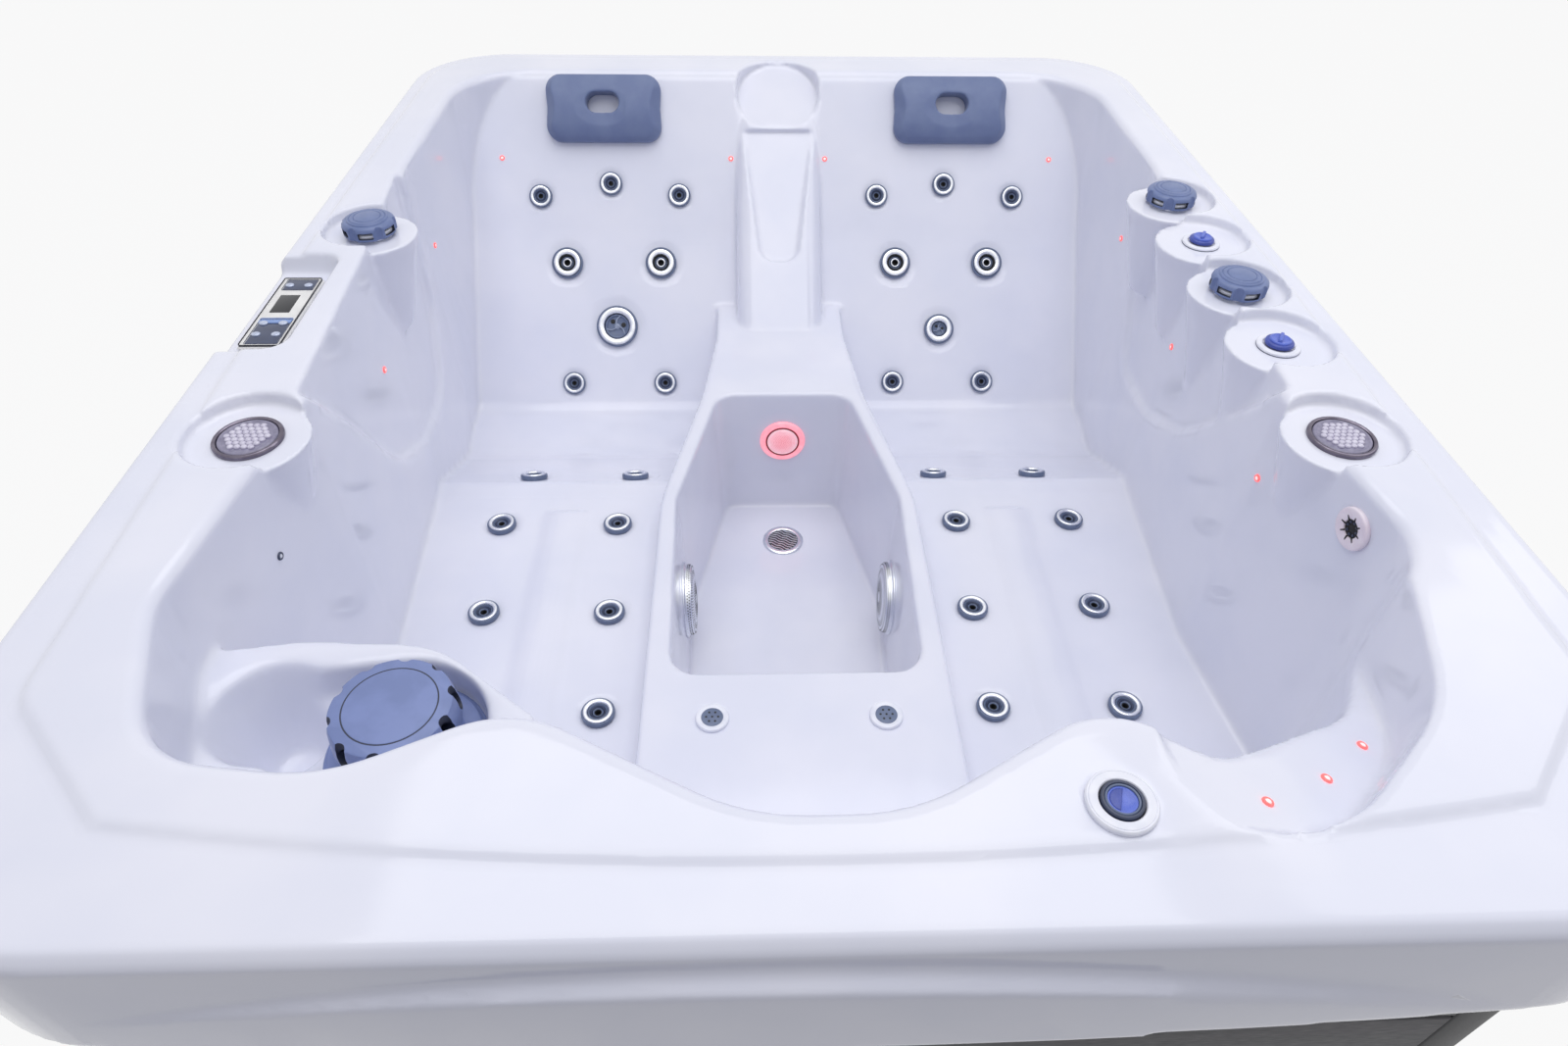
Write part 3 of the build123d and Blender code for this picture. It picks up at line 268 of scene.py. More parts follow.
shell = from_node("shell")
recesses = []
recess_depth = 3.0
recess_draft = 6
jet_rows = [(small_jets, 37), (medium_jets, 53), (rotary_jets[:1], 68), (rotary_jets[1:], 54)]
for places, radius in jet_rows:
    for place in places:
        dip = turned("dip", [(radius - recess_draft, -recess_depth), (radius, 12)], pearl, 32, 0)
        dip.data.transform(place)
        recesses.append(dip)
recesses = joined("recesses", recesses)
apply(shell, "BOOLEAN", object=recesses, operation="DIFFERENCE", solver="EXACT")
bpy.data.objects.remove(recesses)
voxel = 0.0042
apply(shell, "REMESH", mode="VOXEL", voxel_size=voxel)
apply(shell, "SMOOTH", factor=0.5, iterations=5)
# Zones in metres where the sheet is softer than at the rim, and softest: the alcoves, the shelf and
# the lip of the filter well, whose zone is round
basin_zone = ((-0.70, -0.93, -1.0), (0.70, 0.93, 0.765))
alcove_zone = ((0.60, -0.36, 0.36), (0.70, 0.40, 0.765))
shelf_zone = ((0.27, -2.0, 0.50), (2.0, -0.56, 0.785))
well_middle = Vector((-0.50, -0.75))
well_reach = 0.20
well_heights = (0.55, 0.74)


def within(point, zone):
    """Whether a point lies between a zone's two corners."""
    return all(low < value < high for low, value, high in zip(zone[0], point, zone[1]))


soft, softest = [], []
for vertex in shell.data.vertices:
    x, y, z = vertex.co
    if within((x, y, z), basin_zone):
        soft.append(vertex.index)
    if within((abs(x), y, z), alcove_zone) or within((x, y, z), shelf_zone):
        softest.append(vertex.index)
    elif well_heights[0] < z < well_heights[1] and (Vector((x, y)) - well_middle).length < well_reach:
        softest.append(vertex.index)
for name, vertices, rounds in (("basin", soft, 10), ("lips", softest, 24)):
    shell.vertex_groups.new(name=name).add(vertices, 1.0, "ADD")
    apply(shell, "SMOOTH", factor=0.5, iterations=rounds, vertex_group=name)
face_limit = 165000
shell.data.calc_loop_triangles()
if len(shell.data.loop_triangles) > face_limit:
    apply(shell, "DECIMATE", ratio=face_limit / len(shell.data.loop_triangles))
bpy.ops.object.shade_smooth()
shell.vertex_groups.clear()
shell.data.materials.append(pearl)
ready(shell, "tub", "acrylic", "shell")

# Cabinet: planks of dark foamed polymer with an embossed grain, laid level on hidden studs with a
# narrow joint between each two, and a rounded trim of the same stuff at each corner.
# Foamed polymer, extruded and embossed: matt, with long streaks of two greys and a shallow grain
plank = finish("foamed_polymer_plank", "#3B383E", "#232329", 30, 1.2, 0.05, 0.08, Roughness=0.55)
tree = plank.node_tree
spot = tree.nodes["Texture Coordinate"]
stretch = node(tree, "ShaderNodeMapping", {"Scale": (0.08, 0.08, 1)}, {"Vector": (spot, "Object")})
for name in ("Noise Texture", "Noise Texture.001"):
    tree.links.new(stretch.outputs["Vector"], tree.nodes[name].inputs["Vector"])

plank_count = 6
plank_joint = 0.004


def block(middle, size, material, edge=0, segments=2):
    """Block with its edges rounded, in metres."""
    bpy.ops.object.select_all(action="DESELECT")
    bpy.ops.mesh.primitive_cube_add(size=1, location=middle)
    made = bpy.context.object
    made.scale = size
    bpy.ops.object.transform_apply()
    if edge:
        apply(made, "BEVEL", width=edge, segments=segments)
    made.data.materials.append(material)
    return made


for name in ("front_panel", "back_panel", "left_panel", "right_panel"):
    low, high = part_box(name)
    size = high - low
    pitch = size.z / plank_count
    thin = Vector((0.9, 0.5, 1)) if size.x > size.y else Vector((0.5, 0.9, 1))
    planks = []
    for i in range(plank_count):
        middle = (low + high) / 2
        middle.z = low.z + pitch * (i + 0.5)
        planks.append(block(middle, (size.x, size.y, pitch - plank_joint), plank, 0.003, 3))
        planks.append(block(middle, (thin.x * size.x, thin.y * size.y, pitch), plank, 0.001, 1))
    boards = joined(name + "_planks", planks)
    bpy.ops.object.shade_smooth_by_angle(angle=radians(35))
    ready(boards, "tub", "cabinet_planks", name)

trims = from_node("corner_trims")
apply(trims, "BEVEL", width=0.003, segments=2, limit_method="ANGLE", angle_limit=radians(40))
bpy.ops.object.shade_smooth_by_angle(angle=radians(35))
# The same polymer, moulded: an even black with a fine leather texture
trim_black = finish("foamed_polymer_trim", "#222226", "#1A1A1E", 80, 0.9, 0.04, 0.06, Roughness=0.5)
trims.data.materials.append(trim_black)
ready(trims, "tub", "corner_trim", "corner_trims")

# Small jets: a blue-grey body ring screwed into the sheet, a satin steel face pressed on it and a
# stepped grey cone that leads to the dark nozzle hole. They don't turn.
# ABS, moulded in a spark-eroded tool: an even satin blue-grey
slate = finish("abs_moulded_slate", "#66738F", "#5E6B88", 14, 0.5, 0.008, 0.05, Roughness=0.32)
# The same in a darker tone, for the darker parts of other fittings, and as painted shade on the cones inside
# the small jets' nozzles
dark_slate_and_shade = finish("abs_moulded_dark_slate", "#3C4560", "#343C54", 14, 0.5, 0.008, 0.05, Roughness=0.38)
# Stainless steel, pressed and satin polished: bright, with a blurred reflection
steel = finish(
    "stainless_steel_satin", "#E9EBF1", "#DDE0E8", 9, 0.35, 0.003, 0.06, Metallic=1.0, Roughness=0.27
)
# The inside of a bore, where no light comes back
hole = finish("shadowed_bore", "#0A0B11", "#07080C", 9, 0.5, 0.01, 0.05, Roughness=0.6)


def copied_all(piece, name, places):
    """One piece made of copies of a piece at several places; the first one goes."""
    result = joined(name, [copied(piece, name, place) for place in places])
    bpy.data.objects.remove(piece)
    return result


ring_profile = [(16.6, -9), (16.6, -3), (24.6, -3), (25.4, 0.5), (25.4, 5.0), (24.7, 6.5)]
ring_profile += [(22.9, 6.7), (22.6, 4), (16.4, 0), (16.2, -8)]
ring = turned("ring", ring_profile, slate, 32, 0.3)
face_profile = [(16, -7.9), (16, 1), (22.5, 1), (22.5, 7.3), (21.7, 8.5), (20.2, 8.9)]
face_profile += [(17.4, 8.4), (16, 7.2), (15.3, 5.4), (14.9, -7.5)]
face = turned("face", face_profile, steel, 32, 0.3)
step_profile = [(14.9, -7.4), (14.9, 5.8), (14.2, 6.6), (13.2, 6.2), (12.7, 4.6), (12.0, 4.0), (11.6, -7)]
step = turned("step", step_profile, slate, 32, 0)
cone_profile = [(11.8, -6.9), (11.8, 4.6), (11.0, 5.0), (9.4, 3.8), (8.6, 2.4), (7.9, -6.5)]
# The cone is in the darker slate as painted shade inside the nozzle
cone = turned("cone", cone_profile, dark_slate_and_shade, 32, 0)
tip = turned("tip", [(8.1, -6.4), (8.1, 3.4), (7.4, 4.1), (6.2, 3.6), (5.5, 2.6), (5.2, -6)], slate, 24, 0)
bore = turned("bore", [(5.5, -5.9), (5.5, 2.6), (4.7, 2.9), (4.0, 2.0), (3.6, -5)], hole, 24, 0)
jet = joined("small_jet", [ring, face, step, cone, tip, bore])
jets = copied_all(jet, "small_jets_finish", small_jets)
ready(jets, "tub", "jet_steel", "small_jets")

# Medium jets: the same body in a larger size, with a steel face that is turned to open or close the
# jet, and a bright ring round the nozzle in the middle of its bowl.
body_profile = [(20.8, -19), (20.8, -3), (34.2, -3), (35, 0.5), (35, 5.2), (34, 7.0)]
body_profile += [(31.4, 7.4), (30.8, 5.0), (20.6, 4.6), (20.3, -18)]
body = turned("body", body_profile, slate, 64)
bodies = copied_all(body, "medium_bodies_finish", medium_jets)
ready(bodies, "tub", "slate_plastic", "medium_jet_bodies")
face_profile = [(18.8, -15), (18.8, 5.6), (29, 5.6), (30, 6.6), (30, 9.2), (29, 10.8)]
face_profile += [(26.4, 11.7), (21.4, 11.2), (19.4, 9.8), (18.4, 7.2), (17.9, -14)]
bowl_profile = [(17.9, -13.8), (17.9, 7.0), (16.8, 8.0), (15.2, 7.0), (14.2, 2), (13.8, -13)]
step_profile = [(13.9, -12.8), (13.9, 3.4), (13.2, 4.4), (12.0, 4.2), (11.2, 2), (11.0, -12)]
gap_profile = [(11.2, -11.9), (11.2, 0), (10.6, -11.5)]
tip_profile = [(10.4, -11.4), (10.4, 4.6), (9.6, 6.4), (8.2, 6.8), (7.2, 6.0), (6.6, 4), (6.3, -11)]
bore_profile = [(6.6, -10.8), (6.6, 3.4), (5.8, 3.8), (5.3, 2.4), (5.0, -10)]
for name, place in zip(medium_names, medium_jets):
    face = turned("face", face_profile, steel, 64)
    bowl = turned("bowl", bowl_profile, hole, 64)
    step = turned("step", step_profile, slate, 64)
    gap = turned("gap", gap_profile, hole, 48)
    tip = turned("tip", tip_profile, steel, 48)
    bore = turned("bore", bore_profile, hole, 32)
    nozzle = joined("nozzle_" + name, [face, bowl, step, gap, tip, bore])
    nozzle.data.transform(place)
    ready(nozzle, "nozzle_" + name, "jet_steel", "medium_nozzle_" + name)

# Rotary jets: a wide white face in a blue-grey body ring, round a moulded rotor with three curved
# vanes and offset holes, which the water spins. The left one is the larger.
# ABS, moulded and left glossy: a clean white
white = finish("abs_moulded_white", "#EEEFF7", "#E4E6F1", 22, 0.8, 0.006, 0.05, Roughness=0.22)
# The same in pale grey, where the vanes' edges catch the light
vane_grey = finish("abs_moulded_vane", "#A3ACC2", "#95A0B8", 14, 0.5, 0.006, 0.05, Roughness=0.33)
rotary = [("left", rotary_jets[0], 46.5, 27.0), ("right", rotary_jets[1], 34.0, 15.5)]
bodies = []
for name, place, flange, radius in rotary:
    ring = turned(
        "ring",
        [
            (flange - 1, -3),
            (flange, 0.5),
            (flange, 5.0),
            (flange - 1, 7.2),
            (flange - 3.6, 7.6),
            (flange - 4.2, 5),
            (flange - 5, -10),
        ],
        slate,
        72,
    )
    inner = radius + 1.5
    collar = turned(
        "collar",
        [
            (inner + 2, -9.8),
            (inner + 2, 2),
            (flange - 4.1, 2),
            (flange - 4.1, 8.0),
            (flange - 5.4, 10.0),
            (flange - 7.5, 10.8),
            (inner + 4, 10.4),
            (inner + 1, 8.6),
            (inner, 5),
            (inner - 0.6, -9),
        ],
        steel,
        72,
    )
    for piece in (ring, collar):
        piece.data.transform(place)
        bodies.append(piece)
    disc = turned(
        "disc",
        [
            (radius - 1, -6),
            (radius, -5),
            (radius, 4.2),
            (radius - 1.2, 5.0),
            (0.86 * radius, 4.4),
            (0.80 * radius, 1.4),
            (0.3 * radius, 1.0),
        ],
        slate,
        64,
    )
    hub = turned("hub", [(0.24 * radius, -2), (0.22 * radius, 2.6), (0.12 * radius, 3)], vane_grey, 32)
    rotor_pieces = [disc, hub]
    for i in range(3):
        turn = Matrix.Rotation(2 * pi * i / 3 + 0.5, 4, "Z")
        bpy.ops.object.select_all(action="DESELECT")
        bpy.ops.mesh.primitive_plane_add(size=1, location=(0, 0, 0.0026), rotation=(pi / 2, 0, 0))
        vane = bpy.context.object
        vane.scale = (0.0019 * radius / 27, 0.0042, 1)
        bpy.ops.object.transform_apply()
        bpy.ops.object.mode_set(mode="EDIT")
        bpy.ops.mesh.select_all(action="SELECT")
        centre = (0.00062 * radius, 0, 0)
        bpy.ops.mesh.spin(steps=14, angle=radians(92), center=centre, axis=(0, 0, 1))
        bpy.ops.mesh.select_all(action="SELECT")
        bpy.ops.mesh.normals_make_consistent(inside=False)
        bpy.ops.object.mode_set(mode="OBJECT")
        vane.data.materials.append(vane_grey)
        vane.data.transform(turn)
        rotor_pieces.append(vane)
        if i < 2:
            eye = turned("eye", [(0.2 * radius, -1), (0.2 * radius, 1.7), (0.16 * radius, 1.8)], hole, 32)
            eye.data.transform(turn @ Matrix.Translation((0.00052 * radius, -0.00016 * radius, 0)))
            rotor_pieces.append(eye)
    rotor = joined("rotor_" + name + "_finish", rotor_pieces)
    rotor.data.transform(place)
    ready(rotor, "spinner_" + name, "slate_plastic", "rotor_" + name)
bodies = joined("rotary_bodies_finish", bodies)
ready(bodies, "tub", "slate_plastic", "rotary_jet_bodies")

# Air injectors of the front seat: a white ring round a blue-grey face with seven fine holes.
injectors = [level(x, -541, 390) for x in (-124, 124)]
ring = turned("ring", [(23, -2), (24, 0.5), (24, 3), (22.6, 4.8), (18, 5.2), (15.8, 4.2)], white)
face = turned("face", [(15.8, 2), (15.8, 4.4), (14.8, 5.0)], slate)
pinholes = [turned("pinhole", [(1.7, 4.4), (1.7, 5.15), (1.4, 5.15)], hole, 12, 0)]
for i in range(6):
    place = Matrix.Translation((0.0085 * cos(pi * i / 3), 0.0085 * sin(pi * i / 3), 0))
    pinholes.append(copied(pinholes[0], "pinhole", place))
injector = joined("injector", [ring, face] + pinholes)
injectors = copied_all(injector, "air_injectors_finish", injectors)
ready(injectors, "tub", "white_plastic", "air_injectors")

# Lighting points: clear polycarbonate buttons pressed into the sheet, with a red diode behind each.
# One of them isn't lit.
# Polycarbonate, clear, with a red diode behind it: a red ring round a pale middle
glow = finish(
    "polycarbonate_lit_red",
    "#FF7C7A",
    "#F76A6C",
    4,
    0.5,
    0.004,
    0.05,
    Roughness=0.3,
    Emission_Color="#FF5450",
    Emission_Strength=0.9,
)
glow_pale = finish(
    "polycarbonate_lit_pale",
    "#FFDCDC",
    "#FFCFD0",
    4,
    0.5,
    0.004,
    0.05,
    Roughness=0.2,
    Emission_Color="#FFC9C8",
    Emission_Strength=0.6,
)
rim_height = 800
shelf_fall = radians(19.5)
shelf_along = (0.837, 0.547)
shelf_start = (330, -930)
# Corners of the side walls' outline at the rim, on the right; the left one starts further forward
wall_start, wall_waist, wall_bend, wall_end = (664, -620), (631, -347), (655, 50), (690, 400)
left_wall_start = (664, -690)
bulge_depth = 12


def on_shelf(x, y):
    """Place on the sloping shelf."""
    run = (x - shelf_start[0]) * shelf_along[0] + (y - shelf_start[1]) * shelf_along[1]
    normal = (shelf_along[0] * sin(shelf_fall), shelf_along[1] * sin(shelf_fall), cos(shelf_fall))
    return at(x, y, rim_height - run * tan(shelf_fall), normal)


def on_wall(side, y, z, near, far, top, draft, deeper=0):
    """Place on a wall between two corners of its outline, on the left or right, or deeper in it."""
    turn = atan2(far[0] - near[0], far[1] - near[1])
    lean = radians(draft)
    x = near[0] + (y - near[1]) * tan(turn) - (top - z) * tan(lean) / cos(turn) + deeper / cos(turn)
    return at(side * x, y, z, (-side * cos(lean) * cos(turn), cos(lean) * sin(turn), sin(lean)))


points = [on_backrest(s * x, 652) for s in (-1, 1) for x in (106, 618)]
points += [on_shelf(381, -924), on_shelf(466, -881), on_shelf(542, -823)]
points += [at(-690, 439, 622, (1, 0, 0)), at(690, 450, 632, (-1, 0, 0))]
points += [on_wall(-1, -17, 632, wall_waist, wall_bend, rim_height, 0, bulge_depth)]
points += [on_wall(1, 60, 622, wall_bend, wall_end, rim_height, 0, bulge_depth)]
points += [on_wall(1, -362, 678, wall_start, wall_waist, rim_height, 0)]
dark_point = on_wall(-1, -500, 681, left_wall_start, wall_waist, rim_height, 0)


def light_point(name, middle, edge):
    """Button with a domed middle and a low rim, of two materials."""
    dome = turned("dome", [(3.0, 0.3), (3.0, 1.6), (2.2, 2.5), (1.0, 2.9)], middle, 24)
    rim = turned("rim", [(5.2, -1), (5.5, 0.6), (5.1, 2.0), (4.2, 2.6), (3.2, 2.2), (2.8, -0.5)], edge, 24)
    return joined(name, [dome, rim])


points = copied_all(light_point("point", glow_pale, glow), "led_points_lit", points)
unlit = light_point("unlit", white, dark_slate_and_shade)
unlit.data.transform(dark_point)
points = joined("led_points_finish", [points, unlit])
ready(points, "tub", "clear_lens", "led_points")

# Underwater light: a ring of milky plastic lit pink from behind, and a clear lens moulded with
# rings of small domes, held by a thin red gasket.
# Polycarbonate, lit from behind: a white-pink lens, a pinker milky ring and darker domes
lens_pink = finish(
    "polycarbonate_lens_lit",
    "#FFE6E9",
    "#FFD5DB",
    16,
    0.8,
    0.01,
    0.05,
    Roughness=0.18,
    Emission_Color="#FFBEC5",
    Emission_Strength=0.45,
)
ring_pink = finish(
    "polycarbonate_ring_lit",
    "#FFBCC4",
    "#FFA6B2",
    16,
    0.8,
    0.01,
    0.05,
    Roughness=0.3,
    Emission_Color="#FF8F9B",
    Emission_Strength=0.6,
)
dot_red = finish(
    "polycarbonate_dome_lit",
    "#EF7587",
    "#E4627A",
    8,
    0.5,
    0.004,
    0.05,
    Roughness=0.15,
    Emission_Color="#E2425A",
    Emission_Strength=0.3,
)
# Silicone, moulded: a matt dark red line between the two
gasket_red = finish("silicone_gasket_red", "#93243A", "#7E1B30", 10, 0.5, 0.006, 0.05, Roughness=0.45)
footwell_top = 402
footwell_end = 256
footwell_draft = 2.5
light_z = 275
light_lean = radians(footwell_draft)
light_y = footwell_end - (footwell_top - light_z) * tan(light_lean)
light_place = at(0, light_y, light_z, (0, -cos(light_lean), sin(light_lean)))
ring = turned(
    "ring",
    [(45, -3), (47, 0.5), (47, 3.4), (45.6, 5.4), (42, 6.2), (37, 6.0), (35.2, 5.2), (34.6, 2)],
    ring_pink,
    96,
)
gasket = turned("gasket", [(35.2, 2), (35.2, 6.0), (34.2, 6.8), (32.6, 6.8), (31.8, 5.6)], gasket_red, 96)
housing = joined("light_housing_finish", [ring, gasket])
housing.data.transform(light_place)
ready(housing, "tub", "white_plastic", "light_housing")
lens = turned(
    "lens",
    [(31.8, 2.4), (31.8, 6.0), (30, 6.9), (22, 8.0), (12, 8.7), (4, 8.95)],
    lens_pink,
    96,
)
domes = [lens]
bpy.ops.object.select_all(action="DESELECT")
bpy.ops.mesh.primitive_uv_sphere_add(segments=8, ring_count=5, radius=0.00125)
dome = bpy.context.object
bpy.ops.object.shade_smooth()
dome.data.materials.append(dot_red)
dome_rings = 9
dome_pitch = 3.15
lens_top = 8.95
lens_sag = 0.0033
for ring_number in range(1, dome_rings + 1):
    ring_radius = dome_pitch * ring_number
    height = lens_top - lens_sag * ring_radius**2
    for i in range(6 * ring_number):
        turn = 2 * pi * i / (6 * ring_number)
        spot = Vector((ring_radius * cos(turn), ring_radius * sin(turn), height)) / 1000
        domes.append(copied(dome, "dome", Matrix.Translation(spot)))
bpy.data.objects.remove(dome)
lens = joined("light_lens_finish", domes)
lens.data.transform(light_place)
ready(lens, "tub", "clear_lens", "light_lens")

# Floor drain: a polished steel ring round a grille of wavy bars over the dark outlet.
drain_place = level(0, 128, 100)
drain_turn = radians(-28)
ring_profile = [(33, -7), (33, -2), (42, -2), (43, 0.5), (42.4, 2.4), (40, 3.9)]
ring_profile += [(35, 4.1), (31.5, 3.2), (30.8, 1.2), (30.6, -6.5)]
ring = turned("ring", ring_profile, steel, 96)
floor_of_drain = turned("outlet", [(31, -6.4), (31, -5)], hole, 48)
bars = [ring, floor_of_drain]
bar_pitch = 6.6
bar_width = 0.0026
bar_top = 0.0032
wave_height = 0.0011
wave_length = 0.022
grille_radius = 30.5
for i in range(-4, 5):
    reach = (grille_radius**2 - (bar_pitch * i) ** 2) ** 0.5
    bpy.ops.object.select_all(action="DESELECT")
    bpy.ops.mesh.primitive_grid_add(x_subdivisions=16, y_subdivisions=1, size=1)
    bar = bpy.context.object
    bar.scale = (2 * reach / 1000, bar_width, 1)
    bpy.ops.object.transform_apply()
    for vertex in bar.data.vertices:
        wave = wave_height * sin(vertex.co.x * 2 * pi / wave_length)
        vertex.co += Vector((0, bar_pitch * i / 1000 + wave, bar_top))
    apply(bar, "SOLIDIFY", thickness=0.004, offset=-1)
    apply(bar, "BEVEL", width=0.0004, segments=1, limit_method="ANGLE", angle_limit=radians(60))
    bar.data.materials.append(steel)
    bars.append(bar)
drain = joined("floor_drain_finish", bars)
drain.data.transform(drain_place @ Matrix.Rotation(drain_turn, 4, "Z"))
ready(drain, "tub", "chrome_ring", "floor_drain")

# Suction covers: a pressed steel dome on each side of the footwell, with a band of punched holes
# round its rim and finer rows of holes over its face, so that hair is not drawn in.
footwell_side = ((190, -458), (200, -60))
covers = [on_wall(side, -138, 205, *footwell_side, footwell_top, footwell_draft) for side in (-1, 1)]
cover_profile = [(68.5, -2), (70, 0.5), (70, 2.6), (68.6, 4), (66.2, 4.2), (65.4, 5.2), (64.6, 12)]
cover_profile += [(62.6, 15.2), (58.6, 16.2), (56.8, 15.4), (55.6, 15.8), (40, 18.2), (20, 19.4), (5, 19.8)]
cover = turned("cover", cover_profile, steel, 120, 0.3)
punched = turned("punched", [(1.25, -0.5), (1.25, 0.22), (0.8, 0.3)], hole, 8, 0)
holes = []
band_holes = 76
band_rows = [(65.0, 8.2, 86), (64.7, 11.6, 80), (61.8, 15.3, 28)]
for row, (radius, height, tilt) in enumerate(band_rows):
    for i in range(band_holes):
        around = Matrix.Rotation(2 * pi * (i + 0.5 * (row % 2)) / band_holes, 4, "Z")
        out = Matrix.Translation((radius / 1000, 0, height / 1000)) @ Matrix.Rotation(radians(tilt), 4, "Y")
        holes.append(copied(punched, "hole", around @ out))
hole_pitch = 4.05
cover_top = 19.95
cover_sag = 0.00135
for ring_number in range(3, 14):
    ring_radius = hole_pitch * ring_number
    out = Matrix.Translation((ring_radius / 1000, 0, (cover_top - cover_sag * ring_radius**2) / 1000))
    for i in range(5 * ring_number):
        around = Matrix.Rotation(2 * pi * i / (5 * ring_number), 4, "Z")
        holes.append(copied(punched, "hole", around @ out))
bpy.data.objects.remove(punched)
cover = joined("cover", [cover] + holes)
covers = copied_all(cover, "suction_covers_finish", covers)
ready(covers, "tub", "pearl_grille", "suction_covers")

# Return fitting: a pale ring on the right wall with a dark opening and eight slots that fan out of it.
# ABS, moulded, in the pink light of the lamps beside it
pink_white = finish("abs_moulded_blush", "#F0E6EE", "#E8DBE6", 20, 0.8, 0.006, 0.05, Roughness=0.25)
inlet_place = on_wall(1, -540, 748, wall_start, wall_waist, rim_height, 0)
ring = turned(
    "ring",
    [(26, -2), (27, 0.5), (27, 3.4), (25.8, 5.2), (22.6, 5.9), (17.6, 5.3), (12, 4.4), (11.6, 0.6)],
    pink_white,
    72,
)
eye = turned("eye", [(11.9, 0.6), (11.9, 2.8), (8, 1.9), (3.6, 2.4), (2.6, 3.0)], hole, 48)
arms = [ring, eye]
slots = 8
for i in range(slots):
    around = Matrix.Rotation(2 * pi * i / slots, 4, "Z")
    arm = block((0.0139, 0, 0.0045), (0.0070, 0.0020, 0.0022), hole, 0.0008)
    arm.data.transform(around)
    arms.append(arm)
    ball = turned("ball", [(1.7, 1), (1.7, 3.6), (1.0, 4.0)], dark_slate_and_shade, 12, 0.2)
    ball.data.transform(around @ Matrix.Translation((0.0084, 0, -0.0003)))
    arms.append(ball)
inlet = joined("return_fitting_finish", arms)
inlet.data.transform(inlet_place)
ready(inlet, "tub", "white_plastic", "return_fitting")

# Filter: a flat collar on the floor of the well, and a lobed cap of slate plastic that is turned by
# hand and lifts the pleated cartridge out. Pockets between the lobes let the water in.
# Polypropylene, moulded: a waxy slate blue, clouded where the mould filled unevenly
cap_slate = finish("polypropylene_slate_cap", "#7B8ABB", "#7281B0", 34, 0.7, 0.012, 0.06, Roughness=0.40)
# The same inside the pockets, which stay in shade: near black
cap_shadow = finish("polypropylene_slate_pocket", "#2A3146", "#20263A", 20, 0.7, 0.012, 0.06, Roughness=0.5)
well_place = level(-432, -760, 640)
collar_profile = [(84, 0.2), (86, 1.6), (86, 5.6), (84, 7.8), (76, 8), (74.8, 6.6)]
collar_profile += [(72, 6.6), (70.8, 8), (67, 8), (66, 6), (66, 0.2)]
collar = turned("filter_collar_finish", collar_profile, cap_slate, 96)
collar.data.transform(well_place)
ready(collar, "tub", "slate_plastic", "filter_collar")

cap_profile = [(80, 8.4), (80, 12.4), (78, 14.2), (62, 15), (56, 20), (53, 30), (53.5, 40)]
cap_profile += [(62, 45), (65.5, 52), (63, 74), (61, 81), (58.5, 82.3)]
cap = turned("cap", cap_profile, cap_slate, 120, 0)
pockets = []
lobes = 10
for i in range(lobes):
    around = Matrix.Rotation(2 * pi * (i + 0.5) / lobes, 4, "Z")
    pocket = turned("pocket", [(7.5, 62), (8.5, 90)], cap_shadow, 32, 0)
    pocket.data.transform(around @ Matrix.Translation((0.0648, 0, 0)))
    pockets.append(pocket)
    window = turned("window", [(9.5, 0), (9.0, 40)], cap_shadow, 32, 0)
    tip = Matrix.Translation((0.046, 0, 0.060)) @ Matrix.Rotation(radians(82), 4, "Y")
    window.data.transform(around @ tip @ Matrix.Diagonal((1.15, 0.95, 1, 1)))
    pockets.append(window)


def carved(piece, cutters):
    """Cuts a piece with several others, which leave their material on the cut faces and go."""
    cutter = joined("cutter", cutters)
    ways = {"operation": "DIFFERENCE", "solver": "EXACT", "use_self": True, "material_mode": "TRANSFER"}
    apply(piece, "BOOLEAN", object=cutter, **ways)
    bpy.data.objects.remove(cutter)


carved(cap, pockets)
apply(cap, "BEVEL", width=0.0011, segments=2, limit_method="ANGLE", angle_limit=radians(35))
bpy.ops.object.shade_smooth_by_angle(angle=radians(35))
disc = turned("groove", [(48.2, 79), (48.2, 82.45), (46.2, 82.5)], cap_shadow, 96, 0)
top = turned("top", [(46.8, 79), (46.8, 82.5), (46.0, 83.0)], cap_slate, 96, 0.2)
cap = joined("filter_lid_finish", [cap, disc, top])
cap.data.transform(well_place)
ready(cap, "filter", "slate_plastic", "filter_lid")

# Diverter valves: a satin steel collar in the rim, and a thick six-lobed knob of slate plastic with a
# window in each lobe that shows the collar, and a raised round top with two grooves.
# ABS, moulded: slate blue, satin, with a hollow inside painted dark as shade
knob_slate = finish("abs_moulded_slate_knob", "#6E7DA9", "#6474A0", 20, 0.6, 0.010, 0.06, Roughness=0.36)
# The same plastic painted near black in the hollow behind the windows, as painted shade
knob_shadow = finish("abs_moulded_knob_hollow", "#2C3348", "#232A3E", 20, 0.6, 0.010, 0.06, Roughness=0.45)
# ABS, plated: the drum that shows through the windows
silver = finish("abs_plated_drum", "#F1F2F8", "#E2E5EE", 10, 0.5, 0.004, 0.06, Metallic=0.3, Roughness=0.25)
pad_top = 786
knobs = {"left": (-688, 150), "right_rear": (684, 270), "right_front": (686, -45)}
valve = turned("valve", [(32, -2), (33, 0.5), (33, 3.6), (32, 5), (27, 5), (26, 6)], steel, 72)
valves = copied_all(valve, "diverter_valves_finish", [level(x, y, pad_top) for x, y in knobs.values()])
ready(valves, "tub", "chrome_ring", "diverter_valves")
knob_profile = [(40.5, 5.5), (42, 7), (42.4, 20), (41.2, 24.5), (38, 27.2), (34, 28)]
crown_profile = [(33, 26), (33, 28.4), (31.6, 30.0), (29.4, 30.6), (28.4, 29.3), (27.2, 30.9)]
crown_profile += [(22.2, 31.3), (21.3, 30.0), (20.4, 31.5)]
